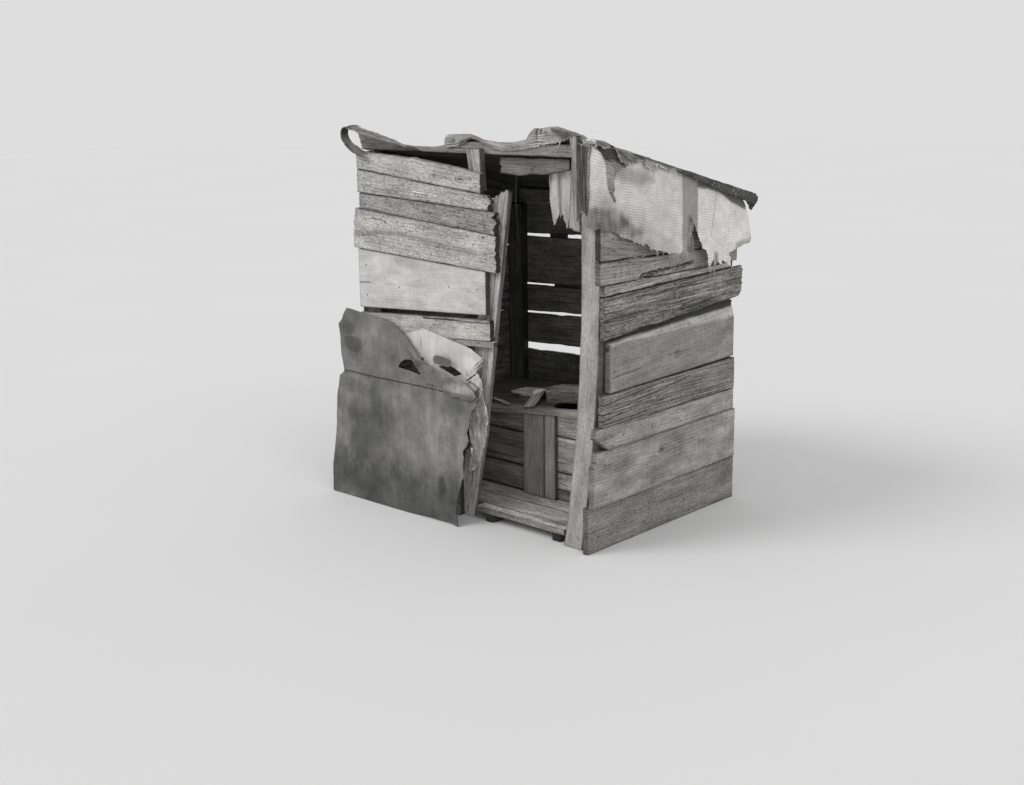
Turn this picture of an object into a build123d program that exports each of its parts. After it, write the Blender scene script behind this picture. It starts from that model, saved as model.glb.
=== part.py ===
from build123d import *
import os
from math import cos, radians, sin, tan

# Weathered wooden outhouse. Millimetres, X to the right along the front, Y into the depth, Z up.
# While it is put together the origin is the outer corner at the foot of the front right;
# the last step moves everything so that the origin is the middle of its footprint, on the ground.

# Overall sizes
WIDTH = 1300
DEPTH = 980
BOARD = 25
FIT = 0.3

# Studs and posts, sawn two by four
STUD_DEPTH = 40
STUD_WIDTH = 90
FRAME_BACK = BOARD + STUD_DEPTH

# Roof, a single slope falling to the back
ROOF_FRONT_TOP = 1525
HEADER_BOTTOM = ROOF_FRONT_TOP - 31
HEADER_HEIGHT = 48
HEADER_OVERHANG = 25
ROOF_FALL = 0.24
ROOF_BOARD = 25
ROOF_BACK_OVERHANG = 12
ROOF_LEFT_OVERHANG = 45
ROOF_EDGE_FRONT = 106
ROOF_EDGE_SKEW = 0.06
ROOF_BOARD_COUNT = 6
ROOF_BOARD_GAP = 4
RAFTER_DEPTH = 80
RAFTER_WIDTH = 40
WALL_TOP_DROP = 18
LOW_WALL_HEIGHT = 1262
FELT = 6

# Bowed post at the front right, its left edge a parabola in height
BOW_FOOT = -113
BOW_LEAN = 0.1691
BOW_CURVE = 0.0000766
BOW_HEIGHT = ROOF_FRONT_TOP + 5
BOW_WIDTH = 90

# Broken post on the left of the doorway
JAMB_FOOT = -635
JAMB_LEAN = 8.85
JAMB_HEIGHT = ROOF_FRONT_TOP - 164

# Doorway
LINTEL_DROP = 79

# Sheets and soft coverings
SHEET = 4
CANVAS = 6
CORNER_DROP = 300

# Privy bench and floor
FLOOR_TOP = 60
FLOOR_BOARD = 25
BENCH_FRONT = 270
UPRIGHT = 20
BENCH_BOARD = 22
SEAT_TOP = 440
SEAT_PIVOT = -447
SEAT_TILT = 5.5
SEAT_BOARD = 18
SEAT_NOSING = 10
HOLE_FROM_PIVOT = 60
HOLE_Y = 435
HOLE_LENGTH = 260
HOLE_WIDTH = 205
UPRIGHTS = ((-582, -463), (-461, -402))


def roof_underside(y):
    return ROOF_FRONT_TOP - ROOF_BOARD / cos(ROOF_ANGLE) - ROOF_FALL * (y - FRAME_BACK)


def roof_top(y):
    return ROOF_FRONT_TOP - ROOF_FALL * (y - FRAME_BACK)


def roof_edge(y):
    return ROOF_EDGE_FRONT - ROOF_EDGE_SKEW * y


def bow_left(z):
    return BOW_FOOT + BOW_LEAN * z - BOW_CURVE * z * z


def bow_right(z):
    return bow_left(z) + BOW_WIDTH


def block(x, y, z):
    """A box from three pairs of limits."""
    size = [limits[1] - limits[0] for limits in (x, y, z)]
    corner = [limits[0] for limits in (x, y, z)]
    return Pos(*corner) * Box(*size, align=(Align.MIN, Align.MIN, Align.MIN))


def plate(plane, outline, thickness):
    """A flat piece cut to an outline drawn on a plane, standing out from it."""
    face = make_face(plane * Polyline(*outline, close=True))
    return extrude(face, amount=thickness, dir=plane.z_dir)


def height_at(stations, heights, x):
    share = (x - stations[0]) / (stations[1] - stations[0])
    return heights[0] + share * (heights[1] - heights[0])


def board_outline(stations, top, bottom, start, end, start_wear=(), end_wear=()):
    """Outline of a board between two sloping edges; wear is (share of width, inset) from the bottom up."""

    def corner(x, share):
        low = height_at(stations, bottom, x)
        return (x, low + share * (height_at(stations, top, x) - low))

    left = [corner(start + inset, share) for share, inset in start_wear or ((0, 0), (1, 0))]
    right = [corner(end - inset, share) for share, inset in end_wear or ((0, 0), (1, 0))]
    return right + left[::-1]


ROOF_ANGLE = radians(13.5)
LEFT = -WIDTH
FRONT_STATIONS = (LEFT + 20, -500)
SIDE_STATIONS = (0, DEPTH)
nodes = {}

# Front wall, left of the doorway. Each board: gap above it and its width, at the left and the right
# stations, then its left and right ends, and how the ends are worn.
FRONT_BOARDS = [
    ((3, 74), (74, 79), -1283, -540, (), ()),
    ((1, 1), (99, 60), -1283, -475, (), ((0, 14), (0.35, 22), (0.6, 4), (0.8, 16), (1, 26))),
    ((1, 1), (65, 89), -1274, -452, (), ((0, 3), (0.3, 12), (0.55, 2), (0.8, 16), (1, 10))),
    ((1, 1), (172, 148), -1320, -457, ((0, 0), (0.6, 4), (1, 18)), ((0, 0), (0.5, 3), (1, 1))),
    ((1, 1), (253, 172), -1290, -520, (), ()),
    ((21, 18), (92, 87), -1290, -498, (), ((0, 0), (0.9, 0), (1, 6))),
    ((1, 1), (22, 24), -1290, -479, (), ()),
    ((190, 205), (228, 236), -1290, -650, (), ()),
]


def front_boards():
    plane = Plane(origin=(0, BOARD, 0), x_dir=(1, 0, 0), z_dir=(0, -1, 0))
    edge = (HEADER_BOTTOM, HEADER_BOTTOM)
    boards = []
    for gap, width, start, end, start_wear, end_wear in FRONT_BOARDS:
        top = tuple(edge[i] - gap[i] for i in (0, 1))
        edge = tuple(top[i] - width[i] for i in (0, 1))
        outline = board_outline(FRONT_STATIONS, top, edge, start, end, start_wear, end_wear)
        boards.append(plate(plane, outline, BOARD))
    ground_top = tuple(height - 1 for height in edge)
    outline = board_outline(FRONT_STATIONS, ground_top, (0, 0), -1290, -690)
    boards.append(plate(plane, outline, BOARD))
    return boards


for index, piece in enumerate(front_boards()):
    nodes[f"front_board_{index + 1}"] = piece

# Right wall. Its front end is nailed to the bowed post and its back end to the upright back post,
# so each board lies in its own slightly turned plane. Gap above and width at the front and back.
SIDE_TOP_FRONT = ROOF_FRONT_TOP - 392
RIGHT_BOARDS = [
    ((1, 1), (88, 68), -45, 975, (), ()),
    ((1, 1), (40, 22), -18, 930, (), ()),
    ((3, 4), (162, 130), -15, 1036, (), ((0, 26), (0.25, 4), (0.8, 0), (1, 10))),
    ((4, 6), (201, 241), 28, 961, (), ()),
    ((4, 8), (127, 134), 0, 972, (), ()),
    ((1, 1), (94, 89), -34, 967, ((0, 88), (0.58, 0), (1, 4)), ()),
    ((1, 1), (219, 211), -32, 982, ((0, 0), (0.75, 0), (0.82, 16), (1, 22)), ()),
]
SIDE_TOP_BACK = SIDE_TOP_FRONT - 35


def side_plane(top):
    """Inner face of a right wall board whose upper edge meets the bowed post at height top."""
    apex = BOW_LEAN / (2 * BOW_CURVE)
    near = Vector(bow_right(min(top, apex)) + FIT, FRAME_BACK, 0)
    far = Vector(-BOARD, DEPTH - BOARD, 0)
    along = (far - near).normalized()
    start = near - along * (FRAME_BACK / along.Y)
    return Plane(origin=start, x_dir=along, z_dir=along.cross(Vector(0, 0, 1)))


def right_boards():
    edge = (SIDE_TOP_FRONT, SIDE_TOP_BACK)
    boards = []
    for gap, width, start, end, start_wear, end_wear in RIGHT_BOARDS:
        top = tuple(edge[i] - gap[i] for i in (0, 1))
        edge = tuple(top[i] - width[i] for i in (0, 1))
        outline = board_outline(SIDE_STATIONS, top, edge, start, end, start_wear, end_wear)
        boards.append(plate(side_plane(top[0]), outline, BOARD))
    ground_top = tuple(height - 1 for height in edge)
    outline = board_outline(SIDE_STATIONS, ground_top, (0, 0), -30, 975)
    boards.append(plate(side_plane(ground_top[0]), outline, BOARD))
    return boards


def right_top_boards():
    """The boards under the canvas, the upper one cut to the slope of the roof."""
    plane = side_plane(SIDE_TOP_FRONT + 1000)
    roof = tuple(roof_underside(y) - WALL_TOP_DROP for y in SIDE_STATIONS)
    middle = ((SIDE_TOP_FRONT + roof[0]) / 2, (SIDE_TOP_BACK + roof[1]) / 2)
    low = board_outline(SIDE_STATIONS, middle, (SIDE_TOP_FRONT, SIDE_TOP_BACK), -45, 970)
    high = board_outline(SIDE_STATIONS, roof, tuple(height + 1 for height in middle), -30, 970)
    return [plate(plane, low, BOARD), plate(plane, high, BOARD)]


nodes["right_top_boards"] = right_top_boards()
for index, piece in enumerate(right_boards()):
    nodes[f"right_board_{index + 1}"] = piece

# Left wall: each board's lower and upper edge. The open joints between them let light into the hut.
LEFT_BOARDS = [(0, 345), (347, 519), (521, 693), (695, 789), (791, 1001), (1010, 1228)]

# Back wall: each board's lower and upper edge at its left end, then at its right end
BACK_BOARDS = [
    (0, 334, 0, 368),
    (350, 505, 371, 536),
    (538, 678, 585, 735),
    (690, 817, 746, 858),
    (827, 1050, 868, 1075),
]
BACK_LAST_BOTTOM = (1062, 1102)


def left_wall():
    plane = Plane(origin=(LEFT + BOARD, 0, 0), x_dir=(0, -1, 0), z_dir=(-1, 0, 0))
    stations = (-DEPTH, -BOARD)
    roof = tuple(roof_underside(-y) - WALL_TOP_DROP for y in stations)
    scale = roof[0] / LOW_WALL_HEIGHT
    edges = [((low * scale,) * 2, (high * scale,) * 2) for low, high in LEFT_BOARDS]
    edges.append(((edges[-1][1][0] + 5,) * 2, roof))
    near = -BOARD - FIT
    return [plate(plane, board_outline(stations, top, low, -DEPTH, near), BOARD) for low, top in edges]


def back_wall():
    plane = Plane(origin=(0, DEPTH - BOARD, 0), x_dir=(-1, 0, 0), z_dir=(0, 1, 0))
    start = BOARD + 3
    end = WIDTH - BOARD - 1
    stations = (start, end)
    roof = roof_underside(DEPTH) - 1
    scale = (roof_underside(DEPTH) - WALL_TOP_DROP) / LOW_WALL_HEIGHT
    edges = []
    for left_low, left_high, right_low, right_high in BACK_BOARDS:
        edges.append(((right_low * scale, left_low * scale), (right_high * scale, left_high * scale)))
    left_low, right_low = BACK_LAST_BOTTOM
    edges.append(((right_low * scale, left_low * scale), (roof, roof)))
    return [plate(plane, board_outline(stations, top, low, start, end), BOARD) for low, top in edges]


nodes["left_wall_boards"] = left_wall()
nodes["back_wall_boards"] = back_wall()


# Frame
def bowed_post():
    """Front right corner post, bowed outwards, with parallel parabolic edges."""
    middle = BOW_HEIGHT / 2
    plane = Plane(origin=(0, FRAME_BACK, 0), x_dir=(1, 0, 0), z_dir=(0, -1, 0))
    top = bow_left(BOW_HEIGHT)
    control = BOW_FOOT + BOW_LEAN * middle
    left = Bezier((BOW_FOOT, 0), (control, middle), (top, BOW_HEIGHT))
    right = Bezier((top + BOW_WIDTH, BOW_HEIGHT), (control + BOW_WIDTH, middle), (BOW_FOOT + BOW_WIDTH, 0))
    outline = left + Line(left @ 1, right @ 0) + right + Line(right @ 1, left @ 0)
    return extrude(plane * make_face(outline), amount=FRAME_BACK, dir=plane.z_dir)


def broken_jamb():
    """Leaning post left of the doorway; its top is snapped off along the grain."""
    plane = Plane(origin=(0, FRAME_BACK, 0), x_dir=(1, 0, 0), z_dir=(0, -1, 0))
    lean = tan(radians(JAMB_LEAN))

    def point(across, z):
        return (JAMB_FOOT - across + lean * z, z)

    outline = [
        point(0, 0),
        point(0, JAMB_HEIGHT),
        point(12, JAMB_HEIGHT + 9),
        point(STUD_WIDTH * 0.55, JAMB_HEIGHT - 6),
        point(STUD_WIDTH * 0.7, JAMB_HEIGHT - 26),
        point(STUD_WIDTH, JAMB_HEIGHT - 34),
        point(STUD_WIDTH, 0),
    ]
    return plate(plane, outline, STUD_DEPTH)


def stud_stub():
    """Upper end of the old door stud, left hanging from the header when its lower part broke."""
    plane = Plane(origin=(0, FRAME_BACK, 0), x_dir=(1, 0, 0), z_dir=(0, -1, 0))
    top = HEADER_BOTTOM + 24
    outline = [(-636, top), (-543, top), (-529, top - 168), (-552, top - 176)]
    outline += [(-576, top - 196), (-608, top - 182)]
    return plate(plane, outline, STUD_DEPTH)


def rafters():
    side = Plane(origin=(0, 0, 0), x_dir=(0, 1, 0), z_dir=(1, 0, 0))
    near, far = FRAME_BACK + BOARD + FIT, DEPTH - BOARD - FIT
    top = (roof_underside(near), roof_underside(far))
    outline = [(near, top[0]), (far, top[1]), (far, top[1] - RAFTER_DEPTH), (near, top[0] - RAFTER_DEPTH)]
    left = Pos(LEFT + BOARD + FIT, 0, 0) * plate(side, outline, RAFTER_WIDTH)
    right = Pos(-BOARD - FIT - RAFTER_WIDTH, 0, 0) * plate(side, outline, RAFTER_WIDTH)
    return [left, right]


def back_posts():
    inner = DEPTH - BOARD - STUD_DEPTH
    top = roof_underside(inner + STUD_DEPTH) - RAFTER_DEPTH
    left = block((LEFT + BOARD, LEFT + BOARD + STUD_WIDTH), (inner, inner + STUD_DEPTH), (0, top))
    right = block((-BOARD - STUD_WIDTH, -BOARD), (inner, inner + STUD_DEPTH), (0, top))
    return [left, right]


nodes["front_right_post"] = bowed_post()
nodes["front_left_post"] = block(
    (LEFT + BOARD, LEFT + BOARD + STUD_WIDTH), (BOARD, FRAME_BACK), (0, HEADER_BOTTOM - 4)
)
nodes["back_posts"] = back_posts()
nodes["broken_door_post"] = broken_jamb()
nodes["stud_stub"] = stud_stub()
nodes["rafters"] = rafters()
nodes["front_header"] = block(
    (LEFT - HEADER_OVERHANG, 40),
    (FRAME_BACK, FRAME_BACK + BOARD),
    (HEADER_BOTTOM, HEADER_BOTTOM + HEADER_HEIGHT),
)


def lintel():
    plane = Plane(origin=(0, FRAME_BACK + 2 * BOARD + FIT, 0), x_dir=(1, 0, 0), z_dir=(0, -1, 0))
    top = roof_underside(FRAME_BACK + 2 * BOARD) - 1
    low = HEADER_BOTTOM - LINTEL_DROP
    outline = [(-153, top), (-528, top), (-519, low + 31), (-530, low + 5), (-416, low), (-274, low + 10)]
    outline.append((-153, low + 30))
    return plate(plane, outline, BOARD)


def door_strip():
    plane = Plane(origin=(0, BOARD, 0), x_dir=(1, 0, 0), z_dir=(0, -1, 0))
    bottom, top = HEADER_BOTTOM - 270, HEADER_BOTTOM + 86
    inner = (bow_left(bottom) - FIT, bow_left(top) - FIT - 6)
    outline = [(inner[0], bottom), (inner[1], top), (inner[1] - 34, top - 8)]
    outline += [(-66, HEADER_BOTTOM + 6), (-84, bottom + 14)]
    return plate(plane, outline, BOARD)


nodes["lintel_board"] = lintel()
nodes["door_side_strip"] = door_strip()


# Roof
def roof_plane():
    """Top face of the roof boards, sloping down to the back."""
    return Plane(origin=(0, FRAME_BACK, ROOF_FRONT_TOP), x_dir=(1, 0, 0), z_dir=(0, ROOF_FALL, 1))


def slope_length(y):
    return (y - FRAME_BACK) * (1 + ROOF_FALL * ROOF_FALL) ** 0.5


def roof_boards():
    plane = roof_plane()
    near, far = FRAME_BACK + BOARD + FIT + 6, DEPTH + ROOF_BACK_OVERHANG
    pitch = (far - near + ROOF_BOARD_GAP) / ROOF_BOARD_COUNT
    boards = []
    for index in range(ROOF_BOARD_COUNT):
        start = near + index * pitch
        end = start + pitch - ROOF_BOARD_GAP
        a, b = slope_length(start), slope_length(end)
        left = LEFT - ROOF_LEFT_OVERHANG + 9 * (index % 3)
        outline = [(left, a), (roof_edge(start), a), (roof_edge(end), b), (left, b)]
        boards.append(plate(plane, outline, -ROOF_BOARD))
    return boards


def roof_felt():
    plane = roof_plane()
    near, far = FRAME_BACK + BOARD + FIT, DEPTH + ROOF_BACK_OVERHANG + 8
    left = LEFT - ROOF_LEFT_OVERHANG - 12
    outline = [
        (left, slope_length(near)),
        (roof_edge(near), slope_length(near)),
        (roof_edge(far), slope_length(far)),
        (left, slope_length(far)),
    ]
    return plate(plane.offset(FIT), outline, FELT)


def ribbon(points, thickness, near, far):
    """A bent strip: a smooth line in the front plane, thickened and drawn back in depth."""
    plane = Plane(origin=(0, near, 0), x_dir=(1, 0, 0), z_dir=(0, -1, 0))
    inner = Spline(*points)
    steps = 2 * len(points)
    raised = []
    for step in range(steps + 1):
        tangent = inner % (step / steps)
        raised.append(inner @ (step / steps) + thickness * Vector(-tangent.Y, tangent.X))
    outer = Spline(*raised)
    outline = inner + Line(inner @ 1, outer @ 1) + outer + Line(outer @ 0, inner @ 0)
    return extrude(plane * make_face(outline), amount=far - near, dir=(0, 1, 0))


nodes["roof_boards"] = roof_boards()
nodes["roof_felt"] = roof_felt()

# Both outlines are heights above the front edge of the roof boards.
FLAP_TOP = [(-790, 14), (-787, 32), (-770, 42), (-690, 45), (-648, 46), (-614, 37), (-576, 26), (-467, 13)]
FLAP_TOP += [(-408, 20), (-340, 31), (-324, 56), (-303, 74), (-272, 72), (-225, 80), (-186, 82), (-103, 62)]
FLAP_TOP += [(-30, 43), (104, 24)]
FLAP_BOTTOM = [(100, 14), (-30, 28), (-126, 48), (-186, 21), (-303, 3), (-413, -12), (-478, -14), (-521, -8)]
FLAP_BOTTOM += [(-564, 6), (-608, 22), (-642, 27), (-676, 15), (-711, -3), (-774, -11)]
CURL_LINE = [(-942, -7), (-989, 14), (-1050, 30), (-1124, 50), (-1192, 67), (-1243, 73), (-1289, 72)]
CURL_LINE += [(-1317, 58), (-1328, 37), (-1326, 12), (-1306, -15), (-1264, -40), (-1184, -63)]


def front_flap():
    """Edge of the roof felt, hanging in waves down the front of the header."""
    plane = Plane(origin=(0, FRAME_BACK - FIT, 0), x_dir=(1, 0, 0), z_dir=(0, -1, 0))
    outline = [(x, ROOF_FRONT_TOP + rise) for x, rise in FLAP_TOP + FLAP_BOTTOM]
    return plate(plane, outline, FELT)


nodes["front_felt_flap"] = front_flap()
nodes["front_felt_curl"] = ribbon([(x, ROOF_FRONT_TOP + rise) for x, rise in CURL_LINE], SHEET, -36, -FIT)


def canvas_plane():
    """Outer side of the roof boards' right ends, where the canvas is nailed."""
    along = Vector(-ROOF_EDGE_SKEW, 1, 0).normalized()
    return Plane(origin=(ROOF_EDGE_FRONT + FIT, 0, 0), x_dir=along, z_dir=along.cross(Vector(0, 0, 1)))


def side_canvas():
    hem = [(-60, -271), (74, -306), (233, -351), (257, -374), (394, -402), (483, -411), (545, -418)]
    hem += [(533, -280), (576, -338), (611, -398), (660, -425), (668, -490), (735, -495), (838, -505)]
    hem += [(812, -453), (962, -413), (940, -312)]
    outline = [(-60, roof_top(-60) - 8)] + [(y, ROOF_FRONT_TOP + drop) for y, drop in hem]
    outline.append((880, roof_top(880) - 8))
    return plate(canvas_plane(), outline, CANVAS)


def edge_roll():
    """Tarred felt rolled over the right edge of the roof, thicker towards the back."""
    sections = []
    for y, size in ((430, 16), (700, 36), (DEPTH + ROOF_BACK_OVERHANG - 6, 52)):
        centre = Vector(roof_edge(y) + FIT * 2 + CANVAS + 13, y, roof_top(y) + FELT - size / 2)
        upright = Plane(origin=centre, x_dir=(1, 0, 0), z_dir=(0, 1, 0))
        sections.append(upright * RectangleRounded(26, size, 7))
    return loft(sections, ruled=True)


def corner_felt():
    """Covering folded round the front right corner, hanging from the roof."""
    line = Polyline((-36, -FIT), (-8, -FIT), (24, -38), (80, -60), (109, -60))
    outline = make_face(offset(line, amount=SHEET, side=Side.RIGHT, closed=True))
    return extrude(Pos(0, 0, ROOF_FRONT_TOP - 268) * outline, amount=CORNER_DROP)


nodes["side_canvas"] = side_canvas()
nodes["roof_edge_roll"] = edge_roll()
nodes["corner_felt"] = corner_felt()


# Doorway
def hanging_rag():
    plane = Plane(origin=(0, FRAME_BACK + 2 * BOARD + 2 * FIT + SHEET, 0), x_dir=(1, 0, 0), z_dir=(0, -1, 0))
    top = HEADER_BOTTOM - 14
    outline = [(-291, 0), (-289, -55), (-282, -150), (-262, -256), (-245, -224), (-226, -218), (-196, -262)]
    outline += [(-181, -180), (-178, -80), (-172, 0)]
    return plate(plane, [(x, top + drop) for x, drop in outline], SHEET)


def latch_wire():
    """Stiff iron wire with a twisted eye, hooked on the lintel."""
    radius = 1.5
    top = Vector(-441, FRAME_BACK + 1.5 * BOARD, HEADER_BOTTOM - LINTEL_DROP + 1)
    eye = top + Vector(-6, 0, -97)
    foot = top + Vector(7, 0, -256)
    upper = Plane(origin=top, z_dir=eye - top) * Cylinder(radius, (eye - top).length - 6, align=ALIGN_END)
    ring = Plane(origin=eye, z_dir=(0, 1, 0)) * Torus(6, radius)
    start = eye + (foot - eye).normalized() * 6
    lower = Plane(origin=start, z_dir=foot - start) * Cylinder(radius, (foot - start).length, align=ALIGN_END)
    return upper + ring + lower


ALIGN_END = (Align.CENTER, Align.CENTER, Align.MIN)
nodes["hanging_rag"] = hanging_rag()
nodes["latch_wire"] = latch_wire()

# Floor in front of the bench
INSIDE_LEFT = LEFT + BOARD + 2
INSIDE_RIGHT = -BOARD - 4


def floor_boards():
    front = block((JAMB_FOOT + 24, BOW_FOOT - 6), (12, FRAME_BACK), (FLOOR_TOP - FLOOR_BOARD, FLOOR_TOP))
    rest = (FRAME_BACK + 1, BENCH_FRONT + UPRIGHT + BENCH_BOARD)
    middle = (rest[0] + rest[1]) / 2
    pieces = []
    for limits in ((rest[0], middle - 1.5), (middle + 1.5, rest[1])):
        pieces.append(block((INSIDE_LEFT, INSIDE_RIGHT), limits, (FLOOR_TOP - FLOOR_BOARD, FLOOR_TOP)))
    return [front] + pieces


def floor_joists():
    under = (0, FLOOR_TOP - FLOOR_BOARD)
    far = BENCH_FRONT + UPRIGHT + BENCH_BOARD
    ends = ((-1180, FRAME_BACK + 2), (-560, 16), (-190, 16))
    return [block((x, x + STUD_DEPTH), (near, far), under) for x, near in ends]


nodes["floor_boards"] = floor_boards()
nodes["floor_joists"] = floor_joists()


# Bench. The seat has sunk at its left end, so its boards lie in a tilted frame.
SEAT_FRAME = Pos(SEAT_PIVOT, 0, SEAT_TOP) * Rot(0, -SEAT_TILT, 0)
BENCH_BACK = DEPTH - BOARD - STUD_DEPTH - 2


def seat_underside(x):
    return SEAT_TOP - SEAT_BOARD / cos(radians(SEAT_TILT)) + tan(radians(SEAT_TILT)) * (x - SEAT_PIVOT)


def seat_boards():
    split = HOLE_Y + 125
    ends = (INSIDE_LEFT - SEAT_PIVOT + 6, INSIDE_RIGHT - SEAT_PIVOT)
    near = block(ends, (BENCH_FRONT - SEAT_NOSING, split - 1.5), (-SEAT_BOARD, 0))
    far = block(ends, (split + 1.5, BENCH_BACK), (-SEAT_BOARD, 0))
    cutter = extrude(SlotOverall(HOLE_LENGTH, HOLE_WIDTH), amount=30, both=True)
    hole = Pos(HOLE_FROM_PIVOT, HOLE_Y, 0) * cutter
    return [SEAT_FRAME * (near - hole), SEAT_FRAME * far]


# Boards across the front of the bench: heights of the joints between them, left and right of the uprights
BENCH_JOINTS = [(66, 106), (173, 181), (320, 335)]


def bench_board(bottom, top):
    """One board across the bench front; its edges step down behind the uprights."""
    plane = Plane(origin=(0, BENCH_FRONT + UPRIGHT + BENCH_BOARD, 0), x_dir=(1, 0, 0), z_dir=(0, -1, 0))
    left, right = UPRIGHTS[0][0] - 10, UPRIGHTS[1][1] - 40
    stations = (INSIDE_LEFT, left, right, INSIDE_RIGHT)
    outline = [(x, bottom(x, x > left)) for x in stations] + [(x, top(x, x > left)) for x in stations[::-1]]
    return plate(plane, outline, BENCH_BOARD)


def bench_front_boards():
    def level(pair, shift):
        return lambda x, right: pair[1 if right else 0] + shift

    edges = [(level((FLOOR_TOP, FLOOR_TOP), 0), level(BENCH_JOINTS[0], -2))]
    edges.append((level(BENCH_JOINTS[0], 2), level(BENCH_JOINTS[1], -2)))
    edges.append((level(BENCH_JOINTS[1], 2), level(BENCH_JOINTS[2], -2)))
    edges.append((level(BENCH_JOINTS[2], 2), lambda x, right: seat_underside(x) - FIT))
    return [bench_board(bottom, top) for bottom, top in edges]


def bench_uprights():
    plane = Plane(origin=(0, BENCH_FRONT + UPRIGHT, 0), x_dir=(1, 0, 0), z_dir=(0, -1, 0))
    pieces = []
    for start, end in UPRIGHTS:
        top = (seat_underside(start) - FIT, seat_underside(end) - FIT)
        outline = [(start, FLOOR_TOP), (end, FLOOR_TOP), (end, top[1]), (start, top[0])]
        pieces.append(plate(plane, outline, UPRIGHT))
    return pieces


def bench_bearers():
    """Cleats on the side walls that carry the seat."""
    depth = (BENCH_FRONT + UPRIGHT + BENCH_BOARD + FIT, BENCH_BACK)
    left = (LEFT + BOARD + FIT, LEFT + BOARD + 40)
    right = (INSIDE_RIGHT - 40, INSIDE_RIGHT + 3)
    left_top = seat_underside(left[0] + 15) - FIT
    right_top = seat_underside(right[0]) - FIT
    cleats = [block(left, depth, (left_top - 45, left_top)), block(right, depth, (right_top - 45, right_top))]
    return cleats


def loose_seat_pieces():
    """Short pieces of wood left lying on the seat."""
    rear = Pos(HOLE_FROM_PIVOT + 34, HOLE_Y + 43, 0) * Box(477, 105, 66, align=ALIGN_END)
    lower = Pos(-262, 504, 0) * Box(142, 112, 18, align=ALIGN_END)
    upper = Pos(-285, 506, 18) * Rot(0, 0, -4) * Box(206, 96, 18, align=ALIGN_END)
    lath = Box(50, 222, 14, align=(Align.CENTER, Align.MIN, Align.MIN))
    lath = Pos(-106, 274, 0) * Rot(0, 0, 27) * Rot(10, 0, 0) * lath
    slat = Pos(-330, 345, 0) * Rot(0, 0, -28) * Box(230, 24, 14, align=ALIGN_END)
    return [SEAT_FRAME * piece for piece in (rear, lower, upper, lath, slat)]


nodes["seat_boards"] = seat_boards()
nodes["bench_front_boards"] = bench_front_boards()
nodes["bench_uprights"] = bench_uprights()
nodes["bench_bearers"] = bench_bearers()
nodes["loose_seat_boards"] = loose_seat_pieces()


# Patching over the lower left of the front wall
def dark_sheet():
    """Stiff tarred sheet leaning on the wall, with torn edges and a hole."""
    top, foot = 803, 112
    slope = Vector(0, foot - FIT, top).normalized()
    plane = Plane(origin=(0, -foot, 0), x_dir=(1, 0, 0), z_dir=Vector(1, 0, 0).cross(slope))
    stretch = (top ** 2 + foot ** 2) ** 0.5 / top
    outline = [
        (-1360, 813), (-1383, 765), (-1414, 739), (-1395, 689), (-1377, 610), (-1350, 541),
        (-1385, 514), (-1397, 420), (-1388, 260), (-1393, 120), (-1384, 0), (-901, 0),
        (-770, 12), (-640, 14), (-589, 0), (-605, 77), (-589, 146), (-574, 214),
        (-590, 309), (-561, 359), (-576, 391), (-561, 460), (-526, 530), (-537, 544),
        (-636, 562), (-759, 611), (-866, 646), (-905, 670), (-981, 737), (-1083, 786), (-1218, 795),
    ]
    holes = [
        [(-1012, 598), (-1000, 618), (-975, 634), (-925, 640), (-893, 610), (-862, 583), (-935, 592)],
    ]
    sheet = plate(plane, [(x, z * stretch) for x, z in outline], SHEET)
    for hole in holes:
        sheet -= plate(plane, [(x, z * stretch) for x, z in hole], SHEET)
    return sheet


def pale_sheet():
    plane = Plane(origin=(0, -FIT, 0), x_dir=(1, 0, 0), z_dir=(0, -1, 0))
    outline = [(-1000, 737), (-887, 773), (-750, 748), (-605, 722), (-526, 695), (-584, 657), (-585, 626)]
    outline += [(-621, 583), (-800, 560), (-960, 590)]
    hole = [(-802, 625), (-736, 640), (-655, 612), (-700, 596)]
    return plate(plane, outline, 3) - plate(plane, hole, 3)


def pale_strip():
    """Crumpled pale strip hanging down the face of the broken post."""
    plane = Plane(origin=(0, BOARD - FIT, 0), x_dir=(1, 0, 0), z_dir=(0, -1, 0))
    outline = [(-584, 560), (-545, 545), (-524, 473), (-541, 380), (-578, 283), (-599, 226), (-613, 251)]
    outline += [(-635, 320), (-632, 409)]
    return plate(plane, outline, 8)


nodes["dark_sheet"] = dark_sheet()
nodes["pale_sheet"] = pale_sheet()
nodes["pale_strip"] = pale_strip()


def export_all():
    """Moves the whole part so that its origin is the middle of its footprint, then writes every node."""
    solids = [list(piece) if isinstance(piece, list) else [piece] for piece in nodes.values()]
    whole = Compound([Compound(group) for group in solids])
    box = whole.bounding_box()
    shift = Pos(-(box.min.X + box.max.X) / 2, -(box.min.Y + box.max.Y) / 2, -box.min.Z)
    os.makedirs("parts", exist_ok=True)
    for name, piece in nodes.items():
        solid = Compound(piece) if isinstance(piece, list) else piece
        export_step(shift * solid, f"parts/{name}.step")


export_all()
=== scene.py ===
"""Looks of the weathered wooden outhouse, in metres, in the frame of its construction model."""
import math
import random
from functools import partial, partialmethod

import bpy
import numpy as np
from mathutils import Matrix, Vector, noise


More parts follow.
